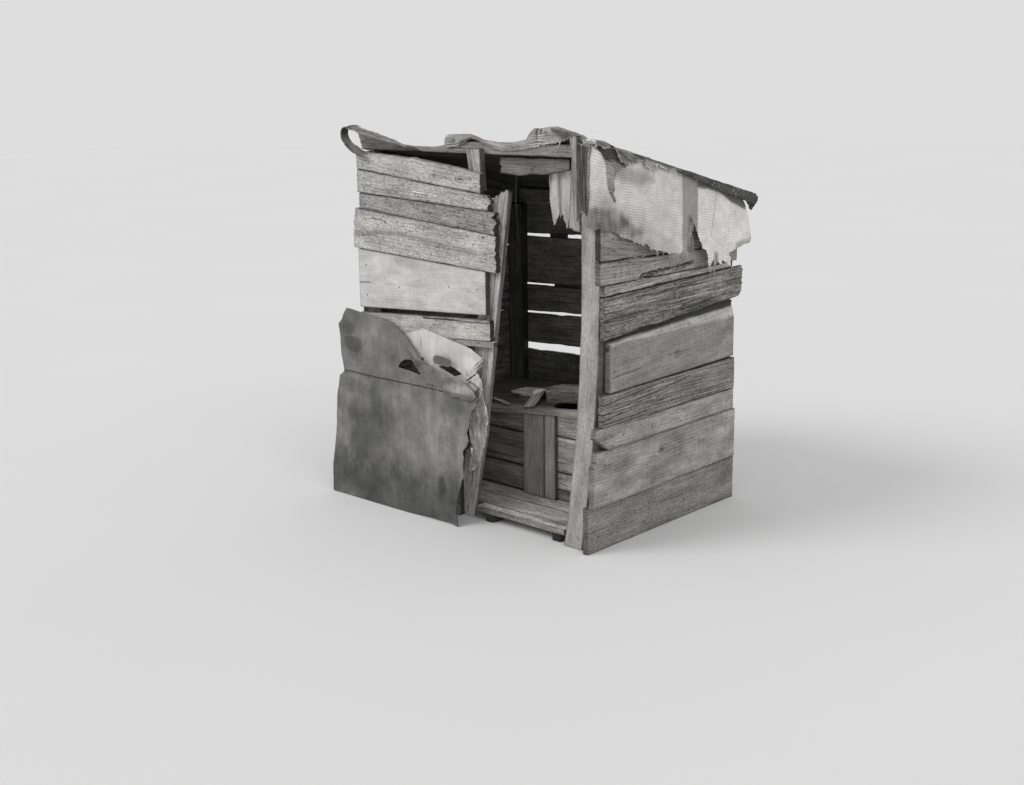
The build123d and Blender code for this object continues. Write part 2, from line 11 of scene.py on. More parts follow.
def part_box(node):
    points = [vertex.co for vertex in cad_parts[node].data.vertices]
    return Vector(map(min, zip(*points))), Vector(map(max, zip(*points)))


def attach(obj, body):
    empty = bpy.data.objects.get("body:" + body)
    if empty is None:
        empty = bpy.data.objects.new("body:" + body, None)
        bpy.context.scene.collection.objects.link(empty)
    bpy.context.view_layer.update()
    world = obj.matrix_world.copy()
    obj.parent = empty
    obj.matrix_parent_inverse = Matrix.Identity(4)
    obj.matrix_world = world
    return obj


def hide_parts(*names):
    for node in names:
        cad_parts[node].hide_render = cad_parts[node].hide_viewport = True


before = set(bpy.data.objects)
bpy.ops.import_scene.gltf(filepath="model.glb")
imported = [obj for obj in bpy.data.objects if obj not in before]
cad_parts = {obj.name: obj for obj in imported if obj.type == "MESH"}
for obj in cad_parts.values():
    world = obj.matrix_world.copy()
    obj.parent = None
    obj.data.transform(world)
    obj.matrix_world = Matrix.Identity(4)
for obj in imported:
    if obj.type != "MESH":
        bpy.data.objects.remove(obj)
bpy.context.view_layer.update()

# Hut measures are written in millimetres from the outer corner at the foot of the front right:
# x to the right along the front, y into the depth, z up. Finishes and meshes are in metres.
LEFT_POST = Vector((-1.275, 0.025))
post_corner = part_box("front_left_post")[0]
HUT_CORNER = Vector((post_corner.x - LEFT_POST.x, post_corner.y - LEFT_POST.y, 0.0))
ROOF_TOP = 1525
ROOF_FALL = 0.24
ROOF_START = 65
AXES = Vector((1, 0, 0)), Vector((0, 1, 0)), Vector((0, 0, 1))
MERGE = 0.00002
BEVEL = 0.0018


def hut(x, y, z):
    """A point of the hut, from millimetres at its front right corner to metres in the frame."""
    return HUT_CORNER + Vector((x, y, z)) / 1000


def to_hut(points):
    return (points - np.array(HUT_CORNER)) * 1000


def from_hut(points):
    return points / 1000 + np.array(HUT_CORNER)


def roof_top(y):
    return ROOF_TOP - ROOF_FALL * (y - ROOF_START)


def ease(value, start, end):
    """0 up to start, 1 from end, and smooth between them."""
    share = min(1.0, max(0.0, (value - start) / (end - start)))
    return share * share * (3 - 2 * share)


def bump(x, y, z, height=1):
    """Smooth noise at one place, up to a height."""
    return height * noise.noise(Vector((x, y, z)))


def bell(value, middle, width):
    return np.exp(-((value - middle) / width) ** 2)


def ramp(values):
    return np.clip(values, 0, 1)


def profile(table, x):
    """Height of a line through points, at one place or many."""
    return np.interp(x, *zip(*table))


def noise_at(points, scale, seed):
    """Smooth noise from -1 to 1 at many points, each axis with its own scale."""
    shift = Vector((seed * 3.1, seed * 1.7, seed * 5.3))
    scale = Vector(scale)
    return np.array([noise.noise(Vector(point) * scale + shift) for point in points])


def noise_over(across, along, scale, seed):
    """The same over a flat sheet."""
    return noise_at(np.stack([across, along, along * 0], 1), (*scale, 1), seed)


# Camera at the standpoint of the photograph, and how it looks: its turn, tilt and roll
STANDPOINT = Vector((3.35096, -3.88797, 1.8))
YAW, PITCH, ROLL = 0.76522144, 0.22364854, -0.0138491
SENSOR = 36
FOCAL_PIXELS, PICTURE_WIDTH = 1400, 1024


def set_up_camera():
    side = Vector((math.cos(YAW), math.sin(YAW), 0))
    level = math.cos(PITCH)
    forward = Vector((-math.sin(YAW) * level, math.cos(YAW) * level, -math.sin(PITCH)))
    top = side.cross(forward)
    right = side * math.cos(ROLL) + top * math.sin(ROLL)
    up = top * math.cos(ROLL) - side * math.sin(ROLL)
    turn = Matrix((right, up, -forward)).transposed().to_4x4()
    lens = bpy.data.cameras.new("camera")
    lens.sensor_width = SENSOR
    lens.lens = FOCAL_PIXELS * SENSOR / PICTURE_WIDTH
    camera = bpy.data.objects.new("camera", lens)
    camera.matrix_world = Matrix.Translation(HUT_CORNER + STANDPOINT) @ turn
    bpy.context.scene.collection.objects.link(camera)
    bpy.context.scene.camera = camera


set_up_camera()
bpy.context.scene.view_settings.view_transform = "Standard"


# Shader maths
class Value:
    """One output of a shader node; sums on it add Math nodes."""

    def __init__(self, finish, socket):
        self.finish, self.socket = finish, socket

    def math(self, operation, *others):
        return self.finish.node("Math", {"operation": operation}, dict(enumerate((self,) + others)))

    __add__ = __radd__ = partialmethod(math, "ADD")
    __mul__ = __rmul__ = partialmethod(math, "MULTIPLY")
    __sub__ = partialmethod(math, "SUBTRACT")
    __truediv__ = partialmethod(math, "DIVIDE")
    __pow__ = partialmethod(math, "POWER")
    above = partialmethod(math, "MAXIMUM")
    size = partialmethod(math, "ABSOLUTE")

    def __rsub__(self, other):
        return self.finish.node("Math", {"operation": "SUBTRACT"}, {0: other, 1: self})

    def step(self, start, end):
        """0 up to start, 1 from end, and smooth between them."""
        settings = {"interpolation_type": "SMOOTHSTEP"}
        return self.finish.node("MapRange", settings, {"Value": self, "From Min": start, "From Max": end})

    def within(self, low, high, soft):
        """1 between two values and 0 outside, with soft ends."""
        return self.step(low - soft, low + soft) * (1 - self.step(high - soft, high + soft))

    def between(self, low, high):
        return self.above(low).math("MINIMUM", high)

    def wave(self, period):
        """A sine of the value, from -1 to 1."""
        return (self * (2 * math.pi / period)).math("SINE")


class Finish:
    """A material, or the world, being built; every node comes from node()."""

    def __init__(self, holder):
        self.holder = holder
        holder.use_nodes = True
        self.tree = holder.node_tree
        self.tree.nodes.clear()

    def node(self, kind, settings=(), sockets=(), out=0):
        made = self.tree.nodes.new("ShaderNode" + kind)
        for key, value in dict(settings).items():
            setattr(made, key, value)
        for key, value in dict(sockets).items():
            if isinstance(value, Value):
                self.tree.links.new(value.socket, made.inputs[key])
            else:
                made.inputs[key].default_value = value
        return Value(self, made.outputs[out])

    def attribute(self, name, out="Fac"):
        return self.node("Attribute", {"attribute_name": name}, out=out)

    def place(self):
        return self.node("TexCoord", out="Object")

    def parts(self, vector):
        split = self.node("SeparateXYZ", (), {0: vector}).socket.node
        return [Value(self, output) for output in split.outputs]

    def joined(self, x, y, z):
        return self.node("CombineXYZ", (), {0: x, 1: y, 2: z})

    def length(self, vector):
        return self.node("VectorMath", {"operation": "LENGTH"}, {0: vector}, out="Value")

    def stretch(self, vector, sizes, shift=(0, 0, 0)):
        return self.node("VectorMath", {"operation": "MULTIPLY_ADD"}, {0: vector, 1: sizes, 2: shift})

    def cloud(self, vector, sizes, detail, roughness, shift=(0, 0, 0)):
        """Noise around 0.5, with its own number of waves to the metre along each axis."""
        lie = self.stretch(vector, sizes, shift)
        return self.node("TexNoise", (), {"Vector": lie, "Scale": 1, "Detail": detail, "Roughness": roughness})

    def mix(self, factor, a, b):
        return self.node("Mix", {"data_type": "RGBA"}, {0: factor, 6: a, 7: b}, out=2)

    def scaled(self, colour, level):
        return self.node("VectorMath", {"operation": "SCALE"}, {0: colour, "Scale": level})

    def surface(self, colour, roughness, height=None, distance=0.001, **constants):
        sockets = {"Base Color": colour, "Roughness": roughness, **constants}
        if height is not None:
            sockets["Normal"] = self.node("Bump", (), {"Height": height, "Strength": 1.0, "Distance": distance})
        self.output("Material", self.node("BsdfPrincipled", (), sockets))
        return self.holder

    def output(self, kind, shader):
        made = self.tree.nodes.new("ShaderNodeOutput" + kind)
        self.tree.links.new(shader.socket, made.inputs["Surface"])


def grey(level, warm=0.015):
    """A near neutral grey from a display level of 0 to 255."""
    linear = ((level / 255 + 0.055) / 1.055) ** 2.4
    return (linear * (1 + warm), linear, linear * (1 - 1.6 * warm), 1)


def new_finish(name):
    return Finish(bpy.data.materials.new(name))


def varied(level, *noises):
    """A brightness with noises added, each with its amount."""
    for value, amount in noises:
        level = level + (value - 0.5) * amount
    return level


# Finishes. Their brightness is worked out around 1 and turned from display to linear light at the end.
GAMMA = 2.2


def weathered_wood(name, tone, mottle=0.5, grain=0.5, rings=0.4, cracks=0.5, saw=0.2, pepper=0.5, relief=1.0,
                   ends=0.6, knots=(), marks=(), fade=None, seed=0.0, warm=0.015, bare_and_shade=1.2):
    """Silvered softwood. Knots are (point, radius along the grain, radius across, wall seen from).

    Marks are lines, dark or pale: (wall, start, end, half width, strength), each end a place along the wall
    and a height. fade is (axis, low point, high point, brightness low, brightness high).
    """
    f = new_finish(name)
    place = f.place()
    along, across, deep = f.parts(f.attribute("grain", "Vector"))
    knot_shade = None
    for centre, length, height, wall in knots:
        away = f.stretch(place, (1, 1, 1), tuple(-v for v in centre))
        sizes = (1 / length, 0.001, 1 / height) if wall == "front" else (0.001, 1 / length, 1 / height)
        ragged = f.cloud(place, (85, 85, 85), 3, 0.7, centre)
        gap = f.length(f.stretch(away, sizes))
        across = across - f.parts(away)[2] * 0.8 / ((gap / 1.9) ** 4 + 1)
        gap = (gap + (ragged - 0.5) * 2.6).above(0.0)
        shade = (1 - gap.step(0.3, 0.62)).above((1 - (gap - 1.1).size().step(0.03, 0.24)) * 0.6)
        knot_shade = shade if knot_shade is None else knot_shade.above(shade)
    fibre = f.joined(along, across, deep)

    def cloud(sizes, detail, roughness):
        return f.cloud(fibre, sizes, detail, roughness, (seed * 1.7, seed * 0.9, seed * 2.3))

    ring = (across + 0.05 * cloud((1.3, 7, 7), 2, 0.5) + 0.01 * deep).wave(0.0125)
    ring = ring * cloud((2.5, 30, 30), 1, 0.5)
    fine = cloud((9, 290, 290), 3, 0.6)
    streak = cloud((2.4, 62, 62), 4, 0.65)
    blotch = cloud((6, 15, 15), 5, 0.62)
    speck = cloud((70, 150, 150), 3, 0.75)
    grit = cloud((230, 380, 380), 2, 0.8)
    fleck = cloud((34, 120, 120), 3, 0.65)
    split = 1 - (cloud((1.5, 58, 20), 2, 0.45) - 0.5).size().step(0.002, 0.012)
    split = split * cloud((2.1, 9, 9), 1, 0.5).step(0.5, 0.6)
    tick = cloud((300, 14, 14), 2, 0.6)
    level = varied(1, (blotch, 1.5 * mottle), (speck, 1.1 * pepper), (grit, 0.8 * pepper))
    level = level - fleck.step(0.57, 0.68) * (0.34 * pepper) + (0.42 - fleck).above(0) * (0.9 * pepper)
    level = varied(level, (fine, 1.5 * grain), (streak, 1.5 * grain))
    level = varied(level + ring * (0.2 * rings), (tick, 0.8 * saw))
    level = level * (1 + f.attribute("tone") * 0.05)
    level = level * (1 - split * (0.62 * cracks))
    if knot_shade is not None:
        level = level * (1 - knot_shade * 0.55)
    for wall, (first, low), (last, high), half, strength in marks:
        over, _, rise = f.parts(place)
        if wall != "front":
            over = f.parts(place)[1]
        slope = (high - low) / (last - first)
        wander = half * (3 if strength > -0.5 else 0)
        line = over * slope + (streak - 0.5) * wander + (low - first * slope)
        away = (rise - line).size().step(half * 0.45, half)
        within = over.step(first - 0.004, first + 0.004) * (1 - over.step(last - 0.012, last + 0.004))
        level = level * (1 - (1 - away) * within * strength)
    if fade is not None:
        axis, start, end, low, high = fade
        level = level * (low + f.parts(place)[axis].step(start, end) * (high - low))
    # Above 0 this attribute brightens bare wood in breaks and bark edges; below 0 it darkens with painted shade in
    # hollows, tears and gaps.
    worn = f.attribute("bare_and_shade")
    level = level * (1 + worn.above(0) * (bare_and_shade - 1)) * (1 + worn.math("MINIMUM", 0) * 0.6)
    # Painted shade along every board edge, where boards meet and lap; end faces are darker for their end grain and
    # partly as painted shade.
    level = level * (1 - f.attribute("end") * ends) * (1 - f.attribute("rim") ** 3.0 * 0.36)
    level = level.between(0.12, 1.7) ** GAMMA
    hue = f.mix(streak.step(0.35, 0.65), grey(tone, warm), grey(tone, warm * 2.4))
    height = fine * (0.5 * grain) + streak * (0.9 * grain) + speck * (0.7 * pepper) + ring * (0.25 * rings)
    height = height - split * (1.6 * cracks) + tick * (0.35 * saw)
    return f.surface(f.scaled(hue, level), 0.9 - 0.12 * (speck - 0.5), height, 0.0016 * relief)


def roofing_felt(name, tone, stripes=0.3, flecks=0.0, mottle=0.6, relief=1.0, edge=0.2, across=1, pitch=0.0155):
    """Old tarred roofing felt, greyed by weather, with its own lengthwise wrinkles."""
    f = new_finish(name)
    lie = f.attribute("weave", "Vector")
    blotch = f.cloud(lie, (13, 22, 13), 5, 0.65)
    grit = f.cloud(lie, (420, 420, 420), 2, 0.7)
    speck = f.cloud(lie, (120, 150, 120), 3, 0.7)
    stripe = (f.parts(lie)[across] + f.cloud(lie, (5, 11, 5), 3, 0.6) * 0.05).wave(pitch)
    stripe = stripe * f.cloud(lie, (9, 20, 9), 2, 0.5, (4, 2, 0)).step(0.35, 0.6)
    level = varied(1 + (blotch - 0.5) * mottle * 1.4, (speck, 0.7), (grit, 0.35)) + stripe * (0.26 * stripes)
    level = level * (1 + f.attribute("rim") * edge)
    # The under attribute is painted shade: folds, laps and undersides darkened.
    level = (level * (1 - 0.62 * f.attribute("under"))).between(0.15, 1.9) ** GAMMA
    colour = f.scaled(f.mix(blotch, grey(tone, 0.005), grey(tone, 0.03)), level)
    if flecks:
        dot = f.cloud(lie, (75, 95, 75), 2, 0.8).step(0.62, 0.66)
        colour = f.mix(dot * flecks, colour, grey(196))
    height = blotch * 0.8 + speck * 0.5 + grit * 0.15 + stripe * (0.5 * stripes)
    return f.surface(colour, 0.88 - 0.15 * (speck - 0.5), height, 0.0024 * relief)


def ribbed_canvas(name, tone, band=None, stains=1.0, ribs=1.0):
    """Bleached ribbed cloth; the band is a darker width between two paler ones, painted shade of a valley fold."""
    f = new_finish(name)
    lie = f.attribute("weave", "Vector")
    run, fall, _ = f.parts(lie)
    bend = f.cloud(lie, (5, 6, 5), 3, 0.55)
    rib = (fall + run * 0.2 + bend * 0.034).wave(0.0098)
    thread = (run + bend * 0.004).wave(0.0021) * 0.5 + fall.wave(0.0023) * 0.5
    blotch = f.cloud(lie, (8, 10, 8), 5, 0.66)
    drip = f.cloud(lie, (46, 6, 20), 4, 0.65)
    speck = f.cloud(lie, (130, 130, 130), 3, 0.75)
    spot = f.cloud(lie, (38, 42, 38), 3, 0.7, (7, 2, 0)).step(0.62, 0.72)
    stain = f.attribute("stain") * stains
    faint = f.cloud(lie, (9, 7, 9), 3, 0.55, (3, 1, 0)).step(0.38, 0.62)
    smudge = f.cloud(lie, (26, 30, 26), 3, 0.6, (5, 1, 0))
    level = 1 + rib * ((0.07 * faint + 0.014) * ribs) + thread * 0.012
    level = varied(level, (blotch, 0.44), (smudge, 0.22), (speck, 0.36), (drip, 0.6 * stain + 0.12)) - spot * 0.08
    if band is not None:
        low, high = band
        # The band's darkening is painted shade of a valley fold; the cloth past it is made a little paler.
        inner = (run + (bend - 0.5) * 0.012).within(low, high, 0.003)
        level = level * (1 - inner * 0.27)
        level = level * (1 + run.step(high - 0.003, high + 0.003) * 0.07)
    level = level * (1 - stain * (0.24 + 0.9 * (drip - 0.32) + 0.8 * (blotch - 0.45)).between(0.0, 0.75))
    level = (level * (1 - f.attribute("shade"))).between(0.15, 1.13) ** GAMMA
    colour = f.scaled(f.mix(blotch, grey(tone, 0.01), grey(tone, 0.035)), level)
    height = rib * 0.35 + thread * 0.12 + speck * 0.3 + blotch * 0.9
    return f.surface(colour, 0.92 - 0.1 * (speck - 0.5), height, 0.0013)


def sheet_stock(name, tone, mottle=0.5, streaks=0.4, seams=(), patches=(), relief=1.0, pepper=0.4):
    """Stiff tarred or painted sheet, blotched and scratched.

    Seams are dark lines between two points of the sheet; patches are (centre, reach, strength, squareness).
    """
    f = new_finish(name)
    lie = f.attribute("weave", "Vector")
    blotch = f.cloud(lie, (7, 6, 7), 6, 0.62)
    cloud = f.cloud(lie, (17, 15, 17), 4, 0.6, (3, 5, 1))
    drip = f.cloud(lie, (30, 3.6, 30), 4, 0.6)
    speck = f.cloud(lie, (110, 110, 110), 4, 0.75)
    scuff = f.cloud(lie, (22, 200, 22), 2, 0.6).step(0.66, 0.73)
    level = varied(1, (blotch, 1.3 * mottle), (cloud, 0.9 * mottle), (drip, 0.9 * streaks), (speck, 1.1 * pepper))
    run, fall, _ = f.parts(lie)
    for (x, z), (wide, high), strength, square in patches:
        near = f.joined((run - x) / wide, (fall - z) / high, 0.0)
        gap = f.length(near)
        if square:
            over, up, _ = f.parts(near)
            gap = over.size().above(up.size()) * square + gap * (1 - square)
            gap = (gap + (cloud - 0.5) * 0.7).step(0.8, 1.02)
        else:
            gap = (gap + (blotch - 0.5) * 1.2).step(0.45, 1.15)
        level = level * (1 + (1 - gap) * strength)
    for (x, z), (x_end, z_end), half, strength in seams:
        slope = (z_end - z) / (x_end - x)
        line = run * slope + (z - x * slope) + (blotch - 0.5) * 0.02
        away = (fall - line).size().step(half * 0.4, half)
        level = level * (1 - (1 - away) * run.within(x, x_end, 0.004) * strength)
    level = level * (1 + f.attribute("rim") * 0.16) + scuff * 0.07
    # The under attribute is painted shade in the sheet's creases and folds.
    level = (level * (1 - f.attribute("under") * 0.5)).between(0.2, 1.9) ** GAMMA
    colour = f.scaled(f.mix(drip, grey(tone, 0.005), grey(tone, 0.025)), level)
    height = blotch * 0.7 + speck * 0.5 + drip * 0.3 + cloud * 0.5
    return f.surface(colour, 0.78 + 0.25 * (blotch - 0.5), height, 0.0015 * relief)


def old_iron(name, tone=52):
    f = new_finish(name)
    rust = f.cloud(f.place(), (210, 210, 210), 4, 0.7)
    fine = f.cloud(f.place(), (900, 900, 900), 2, 0.7)
    colour = f.mix(rust.step(0.35, 0.65), grey(tone, 0.03), grey(tone * 1.6, 0.07))
    return f.surface(f.scaled(colour, 0.7 + 0.6 * fine), 0.55 + 0.5 * (rust - 0.5), rust + fine * 0.4, 0.0006,
                     Metallic=0.35)


# Working on meshes
def select_only(*pieces):
    bpy.ops.object.select_all(action="DESELECT")
    for piece in pieces:
        piece.select_set(True)
    bpy.context.view_layer.objects.active = pieces[0]


def new_object(name, data):
    made = bpy.data.objects.new(name, data)
    bpy.context.scene.collection.objects.link(made)
    return made


def start_edit(piece):
    select_only(piece)
    bpy.ops.object.mode_set(mode="EDIT")
    bpy.ops.mesh.select_all(action="SELECT")


def end_edit():
    bpy.ops.object.mode_set(mode="OBJECT")


def cut(spot, normal):
    """Cuts the mesh in edit mode with a plane."""
    bpy.ops.mesh.select_all(action="SELECT")
    bpy.ops.mesh.bisect(plane_co=spot, plane_no=normal, threshold=MERGE)


def slices(direction, low, high, pitch):
    """Cuts the mesh in edit mode with evenly spaced planes square to a direction."""
    count = max(1, round((high - low) / pitch))
    for index in range(1, count):
        cut(direction * (low + (high - low) * index / count), direction)


def points_of(mesh, attribute="co"):
    points = np.empty(len(mesh.vertices) * 3)
    mesh.vertices.foreach_get(attribute, points)
    return points.reshape(-1, 3)


def put_points(mesh, points):
    mesh.vertices.foreach_set("co", np.asarray(points, dtype=np.float32).ravel())
    mesh.update()


def keep_attribute(mesh, name, values):
    values = np.asarray(values, dtype=np.float32)
    kind, field = ("FLOAT_VECTOR", "vector") if values.ndim == 2 else ("FLOAT", "value")
    mesh.attributes.new(name, kind, "POINT").data.foreach_set(field, values.ravel())


def loose_parts(mesh):
    """The members of each loose part, as a mask over the vertices."""
    parent = list(range(len(mesh.vertices)))

    def root(index):
        while parent[index] != index:
            parent[index] = parent[parent[index]]
            index = parent[index]
        return index

    for edge in mesh.edges:
        a, b = map(root, edge.vertices)
        parent[a] = b
    roots = [root(index) for index in range(len(parent))]
    return [np.array(roots) == value for value in dict.fromkeys(roots)]


def copy_of(node):
    """An object of its own with a copy of a node's mesh, its loose triangles merged."""
    piece = new_object(node + "_made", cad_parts[node].data.copy())
    start_edit(piece)
    bpy.ops.mesh.remove_doubles(threshold=MERGE)
    bpy.ops.mesh.dissolve_limited(angle_limit=math.radians(0.6))
    end_edit()
    return piece


def board_axes(mesh, members):
    """Grain, width and thickness directions of one loose part: its longest edge and its broadest face."""
    best, grain = 0, AXES[0]
    for edge in mesh.edges:
        if members[edge.vertices[0]]:
            run = mesh.vertices[edge.vertices[1]].co - mesh.vertices[edge.vertices[0]].co
            if run.length > best:
                best, grain = run.length, run.normalized()
    best, flat = 0, AXES[2]
    for face in mesh.polygons:
        if members[face.vertices[0]] and abs(face.normal.dot(grain)) < 0.5 and face.area > best:
            best, flat = face.area, face.normal.copy()
    flat = (flat - grain * flat.dot(grain)).normalized()
    if max(grain, key=abs) < 0:
        grain = -grain
    width = flat.cross(grain)
    if max(width, key=abs) < 0:
        width = -width
    return grain, width, flat


def reach(values, keys, pitch):
    """Lowest and highest value in the bin that each key falls in."""
    bins = np.round((keys - keys.min()) / pitch).astype(int)
    low, high = np.full(bins.max() + 1, np.inf), np.full(bins.max() + 1, -np.inf)
    np.minimum.at(low, bins, values)
    np.maximum.at(high, bins, values)
    return low[bins], high[bins]


def finish_piece(piece, name, node, slot, material, angle=60):
    piece.name = piece.data.name = name
    piece.data.materials.clear()
    piece.data.materials.append(material)
    select_only(piece)
    bpy.ops.object.shade_smooth_by_angle(angle=math.radians(angle))
    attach(piece, "root")
    if node:
        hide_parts(node)
    return piece


def join_all(pieces):
    select_only(*pieces)
    bpy.ops.object.join()
    return pieces[0]


def extent(points):
    return np.concatenate([points.min(0), points.max(0)])


def dressed_boards(node, slot, material, along, across, ragged, chips, erosion, seed, rough_erosion=0.0,
                   carve=None, bend=None):
    """A node's boards with worn edges, splintered ends and a weathered surface.

    ragged is how deep the splinters go at the start and the end of the grain.
    """
    piece = copy_of(node)
    mesh = piece.data
    points = points_of(mesh)
    parts = loose_parts(mesh)
    boxes = [extent(points[members]) for members in parts]
    axes = [board_axes(mesh, members) for members in parts]
    grain, width, _ = axes[int(np.argmax([np.prod(box[3:] - box[:3]) for box in boxes]))]
    start_edit(piece)
    bpy.ops.mesh.bevel(offset=BEVEL, segments=2, profile=0.6, affect="EDGES")
    for direction, pitch in ((grain, along), (width, across)):
        reachs = points @ np.array(direction)
        slices(direction, reachs.min(), reachs.max(), pitch)
    end_edit()
    mesh = piece.data
    points = points_of(mesh)
    normals = points_of(mesh, "normal")
    place = np.zeros_like(points)
    tone, rim, end, bare_and_shade = np.zeros((4, len(points)))
    chance = random.Random(seed)
    for members in loose_parts(mesh):
        own = points[members]
        nearest = np.argmin([np.abs(extent(own) - box).sum() for box in boxes])
        turn = np.array(axes[nearest])
        local = own @ turn.T
        tone[members] = chance.uniform(-1, 1)
        key = place[members] = local + np.array([chance.uniform(0, 40) for _ in range(3)])
        u, v, w = local.T
        v_low, v_high = reach(v, u, along)
        u_low, u_high = reach(u, v, across)
        middle = (w.min() + w.max()) / 2
        side = np.minimum(v - v_low, v_high - v)
        tip = np.minimum(u - u_low, u_high - u)
        # rim marks the board edges for painted shade; end marks the end faces, darker for end grain and partly for
        # painted shade.
        rim[members] = ramp(1 - side / 0.012)
        end[members] = ramp((np.abs(normals[members] @ turn[0]) - 0.45) / 0.4)
        end[members] += 0.2 * ramp(1 - tip / 0.007) * (1 - end[members])
        chip = ramp(noise_at(key, (14, 3, 6), seed) + 0.15) ** 1.5 * chips * 2
        chip += ramp(noise_at(key, (55, 5, 12), seed + 3)) * chips
        pull = ramp(1 - side / 0.016) * chip
        v = v + np.where(v - v_low < v_high - v, pull, -pull)
        for deep, near, sign in ((ragged[0], u - u_low, 1), (ragged[1], u_high - u, -1)):
            tear = np.clip(noise_at(key, (4, 95, 22), seed + 7) * 1.2 + 0.45, 0, 1.3) * deep
            u = u + sign * tear * ramp(1 - near / max(0.02, 3.2 * deep))
        wear = (noise_at(key, (5, 60, 5), seed + 11) * 0.5 + 0.5) * erosion
        if rough_erosion:
            ridge = 1 - np.abs(noise_at(key, (3.2, 42, 3), seed + 13)) * 2
            wear += ramp(ridge) * rough_erosion
            wear += ramp(noise_at(key, (9, 110, 5), seed + 17)) * rough_erosion * 0.6
        w = w + np.where(w > middle, -wear, wear)
        if carve:
            u, v, w, bare_and_shade[members] = carve(u, v, w, u - u_low, v_high - v, w > middle, turn)
        points[members] = np.stack([u, v, w], 1) @ turn
    if bend:
        points = bend(points)
    put_points(mesh, points)
    for label, values in (("grain", place), ("tone", tone), ("rim", rim), ("end", end), ("bare_and_shade", bare_and_shade)):
        keep_attribute(mesh, label, values)
    return finish_piece(piece, node + "_worn", node, slot, material, 40)


def knot(x, y, z, along, across, wall):
    return (tuple(hut(x, y, z)), along / 1000, across / 1000, wall)


def mark(wall, start, end, half, strength=0.6):
    """A line on a wall, from millimetres of the hut."""
    ends = [hut(over, over, z) for over, z in (start, end)]
    return (wall, *((spot.x if wall == "front" else spot.y, spot.z) for spot in ends), half / 1000, strength)


front_mark = partial(mark, "front")
side_mark = partial(mark, "side")


# Front wall boards
TOP_SWELL = [(-1283, 0), (-1197, 4), (-1063, 11), (-952, 11), (-934, 17), (-900, 13), (-720, 10), (-622, 5),
             (-540, 0)]


def broken_top(u, v, w, from_start, from_top, outer, turn):
    """A top edge broken along the grain, with paler wood in the breaks."""
    key = np.outer(u, AXES[0])
    zone = ramp((from_start - 0.28) / 0.06)
    bite = ramp(noise_at(key, (24, 1, 1), 5) + 0.25) + 0.5 * ramp(noise_at(key, (75, 1, 1), 9))
    swell = profile(TOP_SWELL, to_hut(np.stack([u, v, w], 1) @ turn)[:, 0])
    v = v + swell / 1000 * ramp(1 - from_top / 0.06) - bite * 0.007 * zone * ramp(1 - from_top / 0.014)
    return u, v, w, ramp(1 - from_top / (0.004 + 0.012 * bite)) * zone


FRONT_WALL = {
    1: dict(tone=180, mottle=0.34, grain=0.16, rings=0.35, pepper=0.7, saw=0.15, bare_and_shade=1.2, cracks=0.3,
            knots=[knot(-656, 0, 1399, 20, 11, "front"), knot(-594, 0, 1402, 13, 8, "front"),
                   knot(-566, 0, 1374, 8, 6, "front")]),
    2: dict(tone=152, mottle=0.45, grain=0.24, pepper=0.95, cracks=0.4,
            marks=[front_mark((-930, 1338), (-780, 1326), 3, -0.4)]),
    3: dict(tone=142, mottle=0.55, grain=0.26, pepper=1.0, cracks=0.5),
    4: dict(tone=172, mottle=0.45, grain=0.18, pepper=0.9, cracks=0.3,
            marks=[front_mark((-1304, 1143), (-1031, 1150), 14, 0.16),
                   front_mark((-1031, 1150), (-560, 1112), 16, 0.14),
                   front_mark((-1199, 1216), (-1150, 1206), 5, 0.35),
                   front_mark((-1140, 1212), (-1096, 1194), 4, 0.4),
                   front_mark((-880, 1197), (-820, 1191), 3, 0.3)]),
    5: dict(tone=186, mottle=0.42, grain=0.07, rings=0.12, pepper=0.22, saw=0.2, cracks=0.0, relief=0.6,
            marks=[front_mark((-1298, 931), (-1214, 938), 3, 0.5)]),
    6: dict(tone=160, mottle=0.45, grain=0.26, rings=0.4, pepper=0.6, saw=0.15, cracks=0.4,
            marks=[front_mark((-892, 818), (-696, 829), 4, 0.65), front_mark((-700, 828), (-499, 834), 3, 0.5)]),
    7: dict(tone=216, mottle=0.4, saw=0.1),
    8: dict(tone=140, pepper=0.7),
    9: dict(tone=136, pepper=0.7),
}
FRONT_RAGGED = {1: (0.003, 0.004), 2: (0.003, 0.013), 3: (0.003, 0.014), 4: (0.006, 0.010), 5: (0.001, 0.001),
                6: (0.003, 0.004), 7: (0.002, 0.002), 8: (0.003, 0.004), 9: (0.003, 0.004)}
# Board 5 is planed smooth, the others are rough
ROUGH = dict(across=0.006, chips=0.0017, erosion=0.0012)
SMOOTH = dict(across=0.012, chips=0.0004, erosion=0.0003)
front_pieces = []
for number, look in FRONT_WALL.items():
    front_pieces.append(dressed_boards(
        f"front_board_{number}", "front_wood", weathered_wood(f"front board {number}", seed=number, **look),
        along=0.010, ragged=FRONT_RAGGED[number], seed=number, carve=broken_top if number == 1 else None,
        **(SMOOTH if number == 5 else ROUGH)))


# Right wall boards
def sunk(w, depth, turn):
    """Thickness places moved inward from the side of the board that faces out of the hut."""
    return w - depth if turn[2][0] > 0 else w + depth


def waney_edge(u, v, w, from_start, from_top, outer, turn):
    """A hollow along the board's top in painted shade, and under it the pale bark edge, both wider at the back."""
    share = ramp(from_start / 0.93)
    hollow = 0.012 + 0.018 * share
    wide = 0.009 + 0.036 * share
    from_top = from_top + 0.004 * noise_at(np.outer(u, AXES[0]), (9, 1, 1), 3)
    bark = ramp(1 - (from_top - hollow) / wide)
    deep = ramp((hollow - from_top) / 0.006 + 0.5)
    face = outer == (turn[2][0] > 0)
    sink = np.where(face, deep * 0.019 + (1 - deep) * bark * np.minimum(0.013, wide * 0.5), 0)
    return u, v, sunk(w, sink, turn), np.where(face, (1 - deep) * ramp(bark * 5) - deep, 0)


TORN_TOP = [(196, 1034), (215, 1044), (244, 1061), (323, 1064), (418, 1062), (516, 1062), (610, 1070)]
TORN_FOOT = [(196, 1032), (218, 1033), (284, 1038), (377, 1049), (488, 1054), (610, 1055)]


